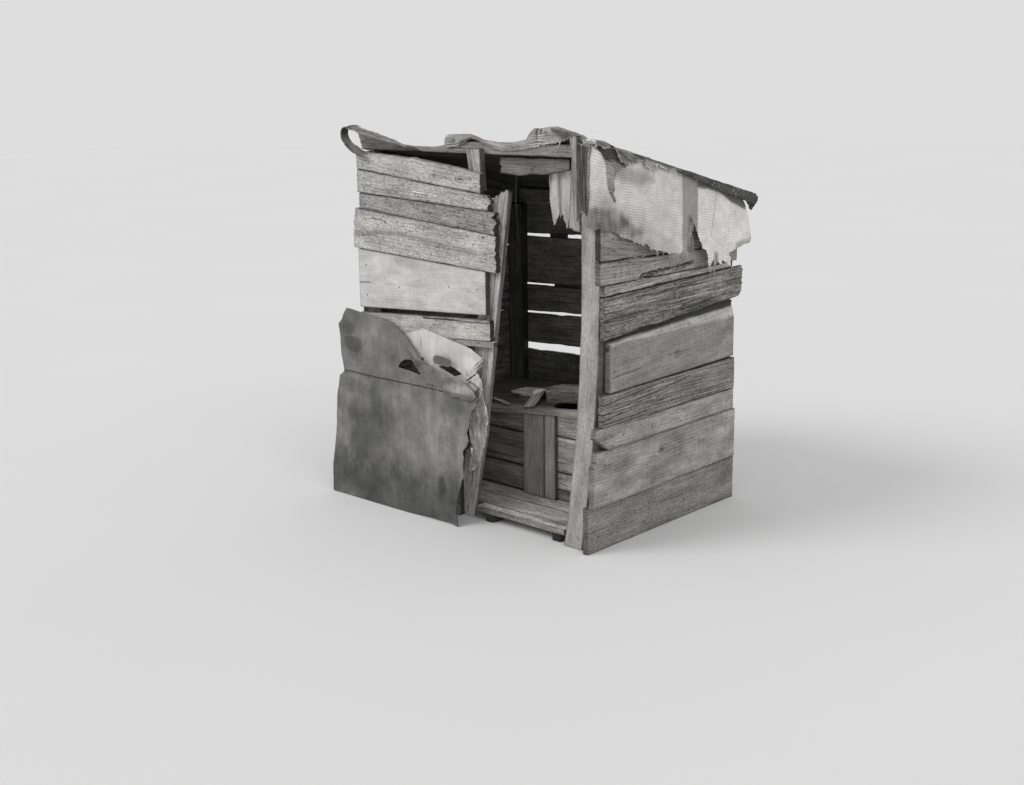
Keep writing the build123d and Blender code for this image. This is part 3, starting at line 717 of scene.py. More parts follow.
def torn_strip(u, v, w, from_start, from_top, outer, turn):
    """A long strip torn out low on the board's face, lifted below, with painted shade inside and along a top gap."""
    _, y, z = to_hut(np.stack([u, v, w], 1) @ turn).T
    height = z + 3 * noise_at(np.stack([u, v, u * 0], 1), (38, 90, 1), 4)
    over, foot = profile(TORN_TOP, y), profile(TORN_FOOT, y)
    outside = outer == (turn[2][0] > 0)
    face = outside & (y > 200) & (y < 615)
    hole = face & (height > foot) & (height < over)
    lip = face & (height <= foot) & (height > foot - 16)
    sink = np.where(hole, 0.010, 0) - np.where(lip, 0.003, 0)
    top_gap = outside & (y < 500) & (from_top < 0.007)
    return u, v, sunk(w, sink, turn), np.select([hole, lip, top_gap], [-0.9, 0.5, -0.7])


RIGHT_WALL = {
    1: dict(tone=150, mottle=0.4, grain=0.25, saw=0.5, pepper=0.6, ends=0.3),
    2: dict(tone=146, mottle=0.5, grain=0.7, saw=0.2, cracks=0.8, pepper=0.7, ends=0.3),
    3: dict(tone=112, mottle=0.5, grain=1.3, saw=0.0, relief=2.2, cracks=0.9, pepper=1.2, ends=0.15),
    4: dict(tone=133, mottle=0.45, grain=0.16, rings=0.3, saw=0.4, pepper=0.4, bare_and_shade=1.3, cracks=0.1, ends=0.35,
            knots=[knot(20, 502, 706, 17, 13, "side"), knot(10, 601, 812, 11, 6, "side")],
            marks=[side_mark((40, 690), (244, 697), 3, 0.45), side_mark((430, 716), (600, 712), 3, 0.2)]),
    5: dict(tone=122, mottle=0.5, grain=0.6, rings=0.8, saw=0.1, cracks=0.7, pepper=0.8, ends=0.15,
            marks=[side_mark((0, 590), (420, 610), 3, 0.4), side_mark((0, 552), (620, 600), 3, 0.45),
                   side_mark((0, 528), (130, 540), 3, 0.6)]),
    6: dict(tone=145, mottle=0.5, grain=0.2, saw=0.3, pepper=0.6, ends=0.2,
            knots=[knot(20, 347, 441, 9, 8, "side")]),
    7: dict(tone=143, mottle=0.7, grain=0.12, rings=0.5, saw=0.4, pepper=0.4, cracks=0.1, ends=0.25,
            knots=[knot(10, 420, 330, 16, 12, "side")]),
    8: dict(tone=134, mottle=0.5, grain=0.25, saw=0.3, pepper=0.7, ends=0.3),
}
# Depth of the splinters at both ends, and size of the chips
RIGHT_WEAR = {1: (0.004, 0.004, 0.0016), 2: (0.006, 0.012, 0.0024), 3: (0.004, 0.014, 0.0026),
              4: (0.002, 0.002, 0.001), 5: (0.004, 0.003, 0.0018), 6: (0.002, 0.002, 0.0012),
              7: (0.002, 0.002, 0.001), 8: (0.003, 0.003, 0.0016)}
right_pieces = []
for number, look in RIGHT_WALL.items():
    seed = 20 + number
    *ragged, chips = RIGHT_WEAR[number]
    right_pieces.append(dressed_boards(
        f"right_board_{number}", "wall_wood", weathered_wood(f"right board {number}", seed=seed, **look),
        along=0.008 if number == 1 else 0.011, across=0.004 if number < 3 else 0.0055, ragged=ragged, chips=chips,
        erosion=0.001, rough_erosion=0.0042 if number == 3 else 0.0, seed=seed,
        carve={1: torn_strip, 4: waney_edge}.get(number)))


def first_hit(pieces, spot, toward):
    """Where a line first meets any of the pieces, and the normal there."""
    hits = [piece.ray_cast(spot, toward) for piece in pieces]
    return min(((place, normal) for hit, place, normal, _ in hits if hit),
               key=lambda found: (found[0] - spot).length, default=None)


def slivers(name, rows, pieces, slot, material, seed):
    """Thin torn splinters along lines on the right wall; rows are (start, end, how many, length)."""
    chance = random.Random(seed)
    made = []
    for start, end, count, length in rows:
        for index in range(count):
            share = (index + chance.uniform(0.1, 0.9)) / count
            y, z = (first + (last - first) * share for first, last in zip(start, end))
            spot = hut(500, y, z + chance.uniform(-4, 4))
            found = first_hit(pieces, spot, -AXES[0])
            if not found:
                continue
            bpy.ops.object.select_all(action="DESELECT")
            depth = length * chance.uniform(0.5, 1.3) / 1000
            bpy.ops.mesh.primitive_cone_add(vertices=5, radius1=0.0026, radius2=0.0005, depth=depth)
            sliver = bpy.context.object
            lean = Matrix.Rotation(math.radians(90 + chance.uniform(-16, 12)), 4, "X")
            lean = Matrix.Rotation(math.radians(chance.uniform(-8, 5)), 4, "Z") @ lean
            put = Matrix.Translation((found[0].x + 0.001, spot.y, spot.z)) @ lean
            sliver.data.transform(put @ Matrix.Diagonal((0.7, chance.uniform(0.6, 1.6), 1, 1)))
            count_of = len(sliver.data.vertices)
            keep_attribute(sliver.data, "grain", points_of(sliver.data)[:, [1, 2, 0]] + share * 7)
            keep_attribute(sliver.data, "tone", np.full(count_of, chance.uniform(-4, 3)))
            for label in ("rim", "end", "bare_and_shade"):
                keep_attribute(sliver.data, label, np.zeros(count_of))
            made.append(sliver)
    return finish_piece(join_all(made), name, None, slot, material)


TORN_ROWS = [((205, 1036), (600, 1056), 26, 46), ((215, 1044), (600, 1066), 18, 40),
             ((60, 1124), (470, 1123), 20, 34), ((620, 1040), (900, 1040), 8, 50)]
sliver_wood = weathered_wood("torn slivers", 132, grain=0.6, pepper=0.6, seed=29)
slivers("wall_slivers", TORN_ROWS, right_pieces, "wall_wood", sliver_wood, 9)


# Frame, roof and inside woodwork
HEADER_TOP = [(-1330, 1546), (-1303, 1548), (-1219, 1538), (-1125, 1524), (-1015, 1515), (-925, 1513),
              (-836, 1519), (-789, 1528), (-740, 1545), (40, 1600)]
POST_LEAN = math.tan(math.radians(8.85))


def header_dip(points):
    """The header's upper edge worn down to the left of the door."""
    x, _, z = to_hut(points).T
    rough = np.array([bump(spot * 0.05, 0, 3, 1.5) for spot in x])
    points[:, 2] -= np.maximum(z - profile(HEADER_TOP, x) - rough, 0) / 1000
    return points


def roof_sag(x, y):
    """How far the front of the roof has sunk to the left of the door, in mm."""
    return 15 * ease(x, -1250, -1010) * ease(x, -735, -860) * ease(y, 420, 90)


def sagging(points):
    points[:, 2] -= np.array([roof_sag(x, y) for x, y, _ in to_hut(points)]) / 1000
    return points


def worn_flat(points):
    """The door post has lost half its depth, and stands a little further into the doorway above its foot."""
    x, y, z = points.T
    share = ramp(1 + (x - (0.014 + POST_LEAN * z)) / 0.09) * ramp((z - 0.06) / 0.3)
    return np.stack([x + 0.018 * share, y.min() + (y - y.min()) * 0.5, z], 1)


def worn_thin(points):
    """The door stud has lost wood from its right side and its back."""
    x, y, z = points.T
    return np.stack([x.min() - 0.006 + (x - x.min()) * 0.82, y.min() + (y - y.min()) * 0.66, z], 1)


post_wood = weathered_wood("corner post wood", 158, grain=0.12, rings=0.2, saw=0.32, pepper=0.45, seed=31,
                           marks=[front_mark((-90, 640), (-40, 652), 5, 0.2)])
jamb_wood = weathered_wood("door post wood", 140, grain=0.7, rings=0.5, seed=32, fade=(2, 0.35, 1.3, 1.33, 0.93),
                           marks=[side_mark((30, 900), (72, 901), 400, -0.3)])
stub_wood = weathered_wood("door stud wood", 138, mottle=0.6, grain=0.9, rings=0.5, saw=0.1, cracks=0.9, seed=33)
strip_wood = weathered_wood("door strip wood", 134, mottle=0.35, grain=0.8, saw=0.0, seed=34)
header_wood = weathered_wood("header wood", 143, grain=0.4, rings=0.3, saw=0.1, seed=35)
lintel_wood = weathered_wood("lintel wood", 106, grain=0.4, rings=0.3, saw=0.1, seed=36,
                             marks=[front_mark((-353, 1434), (-326, 1459), 5, 0.35)])
inner_wood = weathered_wood("inner frame wood", 112, grain=0.6, seed=37)
back_wall_wood = weathered_wood("back wall wood", 146, pepper=0.8, seed=38)
left_wall_wood = weathered_wood("left wall wood", 146, mottle=0.55, grain=0.7, pepper=0.8, seed=39)
roof_wood = weathered_wood("roof wood", 108, grain=0.7, seed=40)
# The bench boards' fade is painted light: darker to the left, lighter to the right where light comes in at the door.
bench_wood = weathered_wood("bench wood", 132, grain=0.7, saw=0.1, seed=41, fade=(0, 0.02, 0.36, 0.9, 1.3), warm=0.02)
upright_wood = weathered_wood("bench upright wood", 140, mottle=0.4, grain=0.4, rings=0.2, saw=0.0, pepper=0.4,
                              seed=46, warm=0.02)
# The seat's fade is painted light: paler towards the front of the seat, darker further in.
seat_wood = weathered_wood("seat wood", 178, saw=0.0, seed=42, warm=0.02, fade=(1, -0.17, -0.06, 1.18, 0.72))
floor_wood = weathered_wood("floor wood", 180, mottle=0.8, rings=0.2, saw=0.0, pepper=0.9, seed=43, warm=0.02)
# Its two pale marks are painted highlights along the front edges of the loose boards.
loose_wood = weathered_wood("loose wood", 235, grain=1.0, rings=0.6, saw=0.0, seed=44,
                            marks=[front_mark((-683, 472), (-628, 474), 18, -0.9),
                                   front_mark((-838, 428), (-640, 447), 10, -0.8)])
top_wall_wood = weathered_wood("upper wall wood", 142, saw=0.5, seed=45)

# Node, slot and wood, then the cell along and across the grain, the splinters at both ends, chips and erosion
WOODWORK = [
    ("front_right_post", "frame_wood", post_wood, 0.014, 0.009, (0.001, 0.003), 0.0014, 0.001),
    ("broken_door_post", "frame_wood", jamb_wood, 0.012, 0.006, (0.001, 0.018), 0.0018, 0.0014),
    ("stud_stub", "frame_wood", stub_wood, 0.009, 0.006, (0.008, 0.001), 0.0014, 0.0012),
    ("door_side_strip", "frame_wood", strip_wood, 0.012, 0.006, (0.006, 0.003), 0.0012, 0.001),
    ("front_header", "frame_wood", header_wood, 0.014, 0.006, (0.006, 0.003), 0.0016, 0.0008),
    ("lintel_board", "frame_wood", lintel_wood, 0.009, 0.007, (0.01, 0.002), 0.003, 0.001),
    ("front_left_post", "frame_wood", inner_wood, 0.04, 0.02, (0.003, 0.003), 0.0015, 0.0006),
    ("back_posts", "frame_wood", inner_wood, 0.04, 0.02, (0.003, 0.003), 0.0015, 0.0006),
    ("rafters", "roof_wood", roof_wood, 0.04, 0.02, (0.003, 0.003), 0.0015, 0.0006),
    ("roof_boards", "roof_wood", roof_wood, 0.02, 0.014, (0.005, 0.005), 0.002, 0.0006),
    ("back_wall_boards", "wall_wood", back_wall_wood, 0.013, 0.0085, (0.005, 0.005), 0.0025, 0.0012),
    ("left_wall_boards", "wall_wood", left_wall_wood, 0.013, 0.009, (0.004, 0.004), 0.0018, 0.0012),
    ("right_top_boards", "wall_wood", top_wall_wood, 0.012, 0.008, (0.004, 0.004), 0.0016, 0.001),
    ("floor_boards", "inside_wood", floor_wood, 0.014, 0.01, (0.003, 0.003), 0.002, 0.001),
    ("floor_joists", "inside_wood", inner_wood, 0.03, 0.02, (0.003, 0.003), 0.0015, 0.0006),
    ("seat_boards", "inside_wood", seat_wood, 0.014, 0.012, (0.003, 0.003), 0.001, 0.0006),
    ("bench_front_boards", "inside_wood", bench_wood, 0.014, 0.009, (0.003, 0.003), 0.001, 0.0006),
    ("bench_uprights", "inside_wood", upright_wood, 0.014, 0.006, (0.003, 0.003), 0.001, 0.001),
    ("bench_bearers", "inside_wood", inner_wood, 0.03, 0.02, (0.003, 0.003), 0.0015, 0.0006),
    ("loose_seat_boards", "inside_wood", loose_wood, 0.009, 0.008, (0.006, 0.006), 0.003, 0.002)]
BENDS = {"broken_door_post": worn_flat, "stud_stub": worn_thin, "front_header": header_dip, "roof_boards": sagging}
woodwork = {}
for seed, (node, slot, wood, along, across, ragged, chips, erosion) in enumerate(WOODWORK, 51):
    woodwork[node] = dressed_boards(
        node, slot, wood, along, across, ragged, chips, erosion, seed,
        0.003 if node == "loose_seat_boards" else 0.0, bend=BENDS.get(node))


# Soft and stiff sheets. Outlines, places and patterns on them are in millimetres.
def metres(points):
    return [(x / 1000, z / 1000) for x, z in points]


def read_off(line, spots, keys=None):
    """Points of a line at places given by its keys, or else by its row numbers."""
    keys = np.arange(len(line)) if keys is None else keys
    return np.stack([np.interp(spots, keys, axis) for axis in line.T], -1)


def smooth_line(points, count):
    """Length of a smooth line through the given points, and points evenly spaced along it."""
    points = [Vector(point) for point in points]
    ends = [points[0] * 2 - points[1]] + points + [points[-1] * 2 - points[-2]]
    dense = []
    for a, b, c, d in zip(ends, ends[1:], ends[2:], ends[3:]):
        for t in np.arange(24) / 24:
            dense.append(0.5 * (2 * b + (c - a) * t + (2 * a - 5 * b + 4 * c - d) * t * t
                                + (3 * b - a - 3 * c + d) * t ** 3))
    dense.append(points[-1])
    lengths = np.cumsum([0.0] + [(b - a).length for a, b in zip(dense, dense[1:])])
    return lengths[-1], read_off(np.array(dense), np.linspace(0, lengths[-1], count), lengths)


def gap_to_outline(points, outline):
    """Distance of flat points to the nearest edge of an outline."""
    best = np.full(len(points), np.inf)
    for a, b in zip(outline, outline[1:] + outline[:1]):
        a, b = np.array(a), np.array(b)
        run = b - a
        share = ramp(((points - a) @ run) / max(run @ run, 1e-12))
        best = np.minimum(best, np.linalg.norm(points - a - share[:, None] * run, axis=1))
    return best


def inside(points, outline, soft):
    """How far inside an outline flat points are: 1 well inside, 0 outside, over a soft edge."""
    x, y = points.T
    within = np.zeros(len(points), bool)
    for (x0, y0), (x1, y1) in zip(outline, outline[1:] + outline[:1]):
        if y0 != y1:
            within ^= ((y0 > y) != (y1 > y)) & (x < (x1 - x0) * (y - y0) / (y1 - y0) + x0)
    return ramp(0.5 + np.where(within, 1, -1) * gap_to_outline(points, outline) / soft)


def torn(points, depth, pitch, seed, smooth_from=None):
    """An outline in metres whose edges, up to a number, are broken up into small seeded teeth."""
    chance = random.Random(seed)
    outline = metres(points)
    made = []
    for index, (a, b) in enumerate(zip(outline, outline[1:] + outline[:1])):
        a, b = Vector(a), Vector(b)
        made.append(tuple(a))
        if smooth_from is not None and index >= smooth_from:
            continue
        run = b - a
        side = Vector((-run.y, run.x)).normalized()
        count = int(run.length / pitch)
        for step in range(1, count):
            jitter = chance.uniform(-0.3, 0.3) / count
            made.append(tuple(a + run * (step / count + jitter) + side * chance.uniform(-0.2, 1) * depth))
    return made


def flat_sheet(name, outline, cell):
    """A flat mesh cut to an outline, in metres, divided into cells."""
    mesh = bpy.data.meshes.new(name)
    mesh.from_pydata([(x, y, 0) for x, y in outline], [], [tuple(range(len(outline)))])
    piece = new_object(name, mesh)
    start_edit(piece)
    for direction, low, high in zip(AXES, np.min(outline, 0), np.max(outline, 0)):
        slices(direction, low, high, cell)
    bpy.ops.mesh.select_all(action="SELECT")
    bpy.ops.mesh.normals_make_consistent(inside=False)
    end_edit()
    return piece


def hang(piece, outline, place, thickness, extra=None):
    """Bends a flat sheet into its place in space and gives it a thickness; returns its flat area."""
    mesh = piece.data
    flat = points_of(mesh)[:, :2]
    area = sum(face.area for face in mesh.polygons)
    keep_attribute(mesh, "weave", np.pad(flat, ((0, 0), (0, 1))))
    keep_attribute(mesh, "rim", ramp(1 - gap_to_outline(flat, outline) / 0.006))
    flat = flat * 1000
    for label, values in (extra(*flat.T) if extra else {}).items():
        keep_attribute(mesh, label, values)
    put_points(mesh, [place(x, z) for x, z in flat])
    wall = piece.modifiers.new("thickness", "SOLIDIFY")
    wall.thickness = thickness
    wall.offset = 0
    select_only(piece)
    bpy.ops.object.modifier_apply(modifier=wall.name)
    return area


def sheet(name, node, slot, material, outline, cell, place, thickness, extra=None, angle=60):
    """A finished sheet, and its flat area."""
    piece = flat_sheet(name, outline, cell)
    area = hang(piece, outline, place, thickness, extra)
    return finish_piece(piece, name, node, slot, material, angle), area


# Canvas nailed along the right edge of the roof, wrapped round the front corner
CANVAS_PLAN = [(-4, -16), (18, -36), (52, -54), (86, -63), (110, -52), (117, -22), (106, 22), (110, 60)]
WRAP_END = 60
CANVAS_SLANT = 0.06
CANVAS_STRETCH = 1.0018
wrap_length, wrap_line = smooth_line(CANVAS_PLAN, 200)


def canvas_run(y):
    """Length along the canvas at a depth on its straight stretch."""
    return wrap_length + (y - WRAP_END) * CANVAS_STRETCH


def canvas_plan(run):
    if run < wrap_length:
        return read_off(wrap_line, run / wrap_length * (len(wrap_line) - 1))
    y = WRAP_END + (run - wrap_length) / CANVAS_STRETCH
    return 113.6 - CANVAS_SLANT * y, y


def over_canvas(points):
    """Outline points of the canvas from a depth in the hut and a height below the roof's front."""
    return [(canvas_run(y), drop) for y, drop in points]


HEM = [(74, -312), (134, -329), (150, -341), (176, -343), (205, -356), (232, -352), (257, -372), (300, -386),
       (347, -391), (380, -404), (406, -403), (440, -414), (474, -408), (505, -412), (538, -414), (543, -372),
       (534, -325), (528, -279), (545, -300), (563, -326), (596, -378), (613, -406), (644, -420), (652, -440),
       (654, -466), (668, -494), (684, -468), (694, -458), (706, -501), (715, -470), (735, -478), (751, -488),
       (760, -466), (790, -482), (835, -507), (822, -468), (808, -444), (824, -440), (860, -434), (899, -427),
       (940, -420)]
REAR_EDGE = [(960, -416), (974, -400), (972, -370), (966, -341), (953, -299), (938, -266), (925, -248)]
ROLL_END = 862
canvas_points = [(0, -254), (30, -262), (90, -268), (140, -274), (wrap_length - 20, -294), *over_canvas(HEM)]
hem_edges = len(canvas_points) - 1
canvas_points += over_canvas([*REAR_EDGE, (ROLL_END, roof_top(ROLL_END) - ROOF_TOP + 2), (WRAP_END, 2)])
canvas_points += [(wrap_length - 40, 8), (120, 20), (90, 24), (60, 16), (0, 10)]
# Where the bulge over the front corner ends: height and length along the canvas
TONGUE = [(-200, 226), (-180, 219), (-159, 202), (-126, 176), (-95, 168), (-50, 164), (-24, 153), (2, 137), (22, 111)]
# Outlines in shade, and outlines stained: points, softness and strength
SHADED = [([(111, 22), (137, 2), (153, -24), (164, -50), (215, -28), (269, -61), (300, -50), (300, 30), (105, 40)],
           7, 0.62),
          ([(164, -44), (215, -26), (272, -62), (240, -84), (222, -109), (214, -144), (219, -178), (207, -162),
            (176, -122), (167, -60)], 9, 0.34),
          ([(210, -118), (214, -122), (223, -155), (228, -186), (221, -180), (214, -152)], 4, 0.8),
          ([(240, -60), (300, -60), (420, -90), (470, -120), (360, -130), (290, -118), (250, -100)], 26, 0.2),
          ([(762, -60), (762, -166), (832, -173), (905, -190), (951, -207), (1005, -238), (1059, -256), (1116, -278),
            (1140, -250), (1100, -150)], 6, 0.52),
          ([(900, -176), (906, -176), (880, -300), (866, -366), (861, -366), (876, -290)], 5, 0.2),
          ([(1050, -410), (1100, -402), (1150, -398), (1178, -392), (1178, -440), (1040, -440)], 12, 0.22),
          ([(697, -270), (716, -270), (742, -330), (748, -430), (680, -430), (690, -340)], 14, 0.3)]
STAINED = [([(-10, -186), (134, -184), (211, -196), (270, -222), (330, -262), (420, -310), (330, -330), (200, -300),
             (-10, -300)], 34, 1.0),
           ([(-10, -90), (90, -110), (150, -140), (230, -190), (300, -215), (470, -290), (470, -400), (-10, -400)],
            60, 0.55),
           ([(230, -260), (420, -270), (560, -330), (640, -380), (640, -430), (230, -330)], 30, 0.35)]


def canvas_place(run, z):
    x, y = canvas_plan(run)
    below = z - (roof_top(max(y, ROOF_START)) - ROOF_TOP)
    hang_share = min(1.0, max(0.0, -below / 300))
    fold = bump(run * 0.011, z * 0.004, 3.1, 8) + bump(run * 0.03, z * 0.012, 8, 4)
    fold += bump(run * 0.012 + z * 0.02, z * 0.006, 5, 4)
    fold *= ease(run, wrap_length + 10, wrap_length + 120)
    x += fold * hang_share + 5 * ease(run, wrap_length + 30, wrap_length + 300) * hang_share
    past = run - profile(TONGUE, z)
    valley = ease(past, -3, 9) * ease(past, 105, 28) * ease(z, -192, -120)
    x -= 17 * valley
    y += 8 * valley
    x += 5 * bell(z + 0.95 * (y - 20), 6, 9) * ease(y, 30, 60) * ease(y, 130, 90)
    x += 4 * ease(run, canvas_run(850), canvas_run(983)) * ease(z, -330, -420)
    x += 7 * bell(run, canvas_run(528), 26) * ease(z, -270, -400)
    return hut(min(x, 124), y, ROOF_TOP + z)


def canvas_stain_and_shade(run, z):
    """Stains and folds in shade, painted as soft shapes along and down the canvas."""
    mm = np.stack([run, z], 1)
    blot, fine = noise_over(run, z, (0.016, 0.02), 4), noise_over(run, z, (0.05, 0.045), 9)
    wavy = mm + np.stack([blot * 9 + fine * 4, fine * 6], 1)
    stain = 0.12 + 0.3 * ramp(blot) * ramp((620 - run) / 200)
    for outline, soft, strength in STAINED:
        stain = np.maximum(stain, inside(wavy, outline, soft) * strength * (0.85 + 0.5 * blot))
    stain = np.maximum(stain, 0.5 * ramp((60 - run) / 40))
    roll_foot = profile(over_canvas([(WRAP_END, -4), (ROLL_END, -180)]), run)
    # Painted shadow under the roll; the SHADED outlines below add painted shade.
    shade = 0.3 * ramp(1 - (roll_foot - z) / 30) * ramp((run - canvas_run(20)) / 30)
    for outline, soft, strength in SHADED:
        shade = np.maximum(shade, inside(mm, outline, soft) * strength)
    tail = ramp(1 - np.abs(run - canvas_run(712)) / 20) * ramp((-z - 425) / 15)
    return {"stain": ramp(stain), "shade": np.clip(shade + 0.45 * tail, 0, 0.9)}


band = (canvas_run(468) / 1000, canvas_run(577) / 1000)
canvas_cloth = ribbed_canvas("bleached ribbed canvas", 219, band)
canvas_outline = torn(canvas_points, 0.006, 0.005, 5, hem_edges)
canvas, canvas_area = sheet("canvas_over_side", "side_canvas", "canvas", canvas_cloth, canvas_outline, 0.008,
                            canvas_place, 0.0016, canvas_stain_and_shade)

# Loose threads along the torn hem: depth, height and length
HEM_THREADS = [(212, -350, 16), (262, -372, 14), (300, -386, 20), (352, -392, 18), (392, -403, 26), (410, -404, 34),
               (428, -408, 30), (446, -412, 24), (470, -408, 22), (492, -410, 26), (514, -340, 60), (520, -310, 70),
               (538, -300, 34), (662, -485, 26), (674, -488, 30), (706, -496, 24), (752, -486, 26), (796, -484, 20)]
STRAND_CUTS = 11


def strand(path, radius, sides=5):
    """A thin round piece along a smooth line of hut points, all in millimetres."""
    _, line = smooth_line(path, STRAND_CUTS + 1)
    bpy.ops.object.select_all(action="DESELECT")
    bpy.ops.mesh.primitive_cylinder_add(vertices=sides, radius=1, depth=1)
    piece = bpy.context.object
    start_edit(piece)
    slices(AXES[2], -0.5, 0.5, 1 / STRAND_CUTS)
    end_edit()
    points = points_of(piece.data)
    middle = read_off(line, ramp(0.5 - points[:, 2]) * STRAND_CUTS)
    way = Vector(line[-1] - line[0]).normalized()
    side = way.orthogonal().normalized()
    put_points(piece.data, from_hut(middle + points[:, :2] @ np.array([side, side.cross(way)]) * radius))
    keep_attribute(piece.data, "weave", middle / 1000)
    return piece


def hanging_threads():
    chance = random.Random(23)
    made = []
    for y, z, length in HEM_THREADS:
        for _ in range(3):
            drop, sway = length * chance.uniform(0.5, 1.2), chance.uniform(-9, 9)
            top = (canvas_place(canvas_run(y + chance.uniform(-9, 9)), z + 6) - HUT_CORNER) * 1000
            path = [top, top + Vector((2, sway * 0.3, -0.5 * drop)), top + Vector((1, sway, -drop))]
            made.append(strand(path, chance.uniform(0.9, 1.7), 4))
    return made


thread_cloth = ribbed_canvas("canvas threads", 178, None, 0.0, 0.0)
finish_piece(join_all(hanging_threads()), "canvas_threads", None, "canvas", thread_cloth)

# Dark felt folded round the front corner, over the canvas
FELT_PLAN = [(-36, -5), (-20, -7), (-6, -20), (14, -40), (26, -42), (40, -56), (66, -64), (88, -69)]
corner_length, corner_line = smooth_line(FELT_PLAN, 160)
CORNER_POINTS = [(0, -258), (14, -262), (24, -244), (42, -230), (64, -219), (88, -214), (104, -222), (116, -228),
                 (122, -200), (130, -166), (134, -133), (129, -87), (136, -57), (134, -19), (145, 24), (0, 30)]


def corner_place(run, z):
    x, y = read_off(corner_line, run / corner_length * (len(corner_line) - 1))
    ripple = bump(run * 0.07, z * 0.005, 1, 6) + bump(run * 0.02, z * 0.03, 4, 3)
    return hut(x + ripple * 0.5, max(y - abs(ripple), -82), ROOF_TOP + z)


# Painted shade over the corner felt, deeper in its folds and at its front end.
def corner_folds(run, z):
    fold = noise_over(run, z, (0.085, 0.006), 6)
    return {"under": np.clip(0.3 + 1.2 * fold + 0.3 * ramp((8 - run) / 8), 0, 0.85)}


corner_felt = roofing_felt("corner felt", 84, stripes=0.2, mottle=0.7, across=0, pitch=0.017, edge=0.9)
sheet("corner_felt_fold", "corner_felt", "roofing_felt", corner_felt, torn(CORNER_POINTS, 0.005, 0.006, 8, 13), 0.006,
      corner_place, 0.0025, corner_folds, 50)

# Front edge of the roof felt, lifted in waves over the header: heights of its upper and its lower edge
FLAP_TOP = [(-790, 14), (-787, 32), (-770, 42), (-690, 45), (-648, 46), (-614, 37), (-576, 26), (-467, 13),
            (-408, 20), (-340, 31), (-324, 56), (-303, 74), (-272, 72), (-225, 80), (-186, 82), (-103, 62),
            (-30, 43), (104, 24)]
FLAP_BOTTOM = [(-790, -8), (-774, -11), (-711, -3), (-676, 15), (-642, 27), (-608, 22), (-564, 6), (-521, -8),
               (-478, -14), (-413, -12), (-303, 3), (-186, 21), (-126, 38), (-30, 28), (104, 8)]
# Painted shade in its folds: middle, share of its height, half width, half height in shares, depth
FLAP_DARKS = [(-736, 0.35, 11, 0.16, 0.5), (-690, 0.12, 26, 0.12, 0.8), (-640, 0.1, 40, 0.12, 0.9),
              (-283, 0.62, 4, 0.4, 1.0), (-262, 0.75, 5, 0.28, 0.9), (-235, 0.5, 9, 0.16, 0.5),
              (-168, 0.75, 22, 0.16, 0.75), (-120, 0.62, 26, 0.14, 0.8), (-96, 0.9, 18, 0.2, 0.7),
              (-400, 0.2, 40, 0.1, 0.3)]
FLAP_HEIGHT = 100
FLAP_BACK = 150


def flap_place(x, up):
    share = up / FLAP_HEIGHT
    top, low = profile(FLAP_TOP, x), profile(FLAP_BOTTOM, x)
    front = 57 - 112 * ease(x, -70, 60)
    crease = bump(x * 0.02, share * 2.2, 4, 4)
    crease += bump(x * 0.045, share * 3.1, 6, 9) * ease(x, -240, -180) * ease(x, 90, 20)
    crease += 7 * bell(x, -283, 7) * ease(share, 0.2, 0.6)
    if share <= 1:
        z = low + (top - low) * math.sin(share * math.pi / 2)
        y = front - 7 * math.sin(math.pi * share) + crease * 0.6
    else:
        back = share - 1
        y = front + (FLAP_BACK - front) * back
        rest = roof_top(FLAP_BACK) - ROOF_TOP + 9
        z = top + (rest - top) * ease(back, 0, 1) + crease * math.sin(math.pi * min(back, 1))
    return hut(x, max(y, -62), ROOF_TOP + z)


# Painted shade on the flap: patchy over its right part and deep in its folds.
def flap_darks(run, up):
    share = up / FLAP_HEIGHT
    dark = 0.55 * ramp(noise_over(run, share * 40, (0.05, 0.03), 7)) * ramp((run + 230) / 60)
    for x, height, wide, high, deep in FLAP_DARKS:
        gap = ((run - x) / wide) ** 2 + ((share - height) / high) ** 2
        dark = np.maximum(dark, deep * np.exp(-gap ** 1.5))
    return {"under": ramp(dark)}


flap_felt = roofing_felt("front felt flap", 157, stripes=0.9, pitch=0.011)
sheet("front_felt_waves", "front_felt_flap", "roofing_felt", flap_felt,
      torn([(-790, 0), (104, 0), (108, 200), (-785, 200)], 0.005, 0.009, 11, 1), 0.008, flap_place, 0.003, flap_darks)

# A darker scrap of felt lying over the end of the flap
scrap_felt = roofing_felt("scrap of felt", 84, mottle=0.8, edge=0.6)
SCRAP_POINTS = [(-207, 1592), (-171, 1570), (-149, 1557), (-122, 1562), (-90, 1581), (-118, 1594), (-171, 1603),
                (-218, 1604)]
sheet("front_felt_scrap", None, "roofing_felt", scrap_felt, torn(SCRAP_POINTS, 0.004, 0.007, 47), 0.006,
      lambda x, z: hut(x, 44 - 0.06 * (x + 160) + bump(x * 0.06, z * 0.06, 4, 5), z), 0.003)

# Strips of torn felt nailed behind the gaps of the back wall
BACK_STRIPS = [[(-1296, 1248), (-620, 1240), (6, 1250), (6, 1292), (-1296, 1292)],
               [(-1296, 1036), (-1212, 1036), (-1206, 1072), (-1296, 1076)],
               [(-1062, 1034), (-948, 1036), (-954, 1074), (-1068, 1072)],
               [(-1046, 800), (-700, 804), (-690, 846), (-1040, 846)]]
back_felt = roofing_felt("felt behind the gaps", 92, stripes=0.2, mottle=0.7)
strips = []
for seed, points in enumerate(BACK_STRIPS, 61):
    outline = torn(points, 0.004, 0.011, seed)
    strips.append(flat_sheet("strip behind", outline, 0.02))
    hang(strips[-1], outline, lambda x, z: hut(x, 984 + bump(x * 0.009, z * 0.009, 2, 2), z), 0.003)
finish_piece(join_all(strips), "felt_strips_behind", None, "roofing_felt", back_felt)

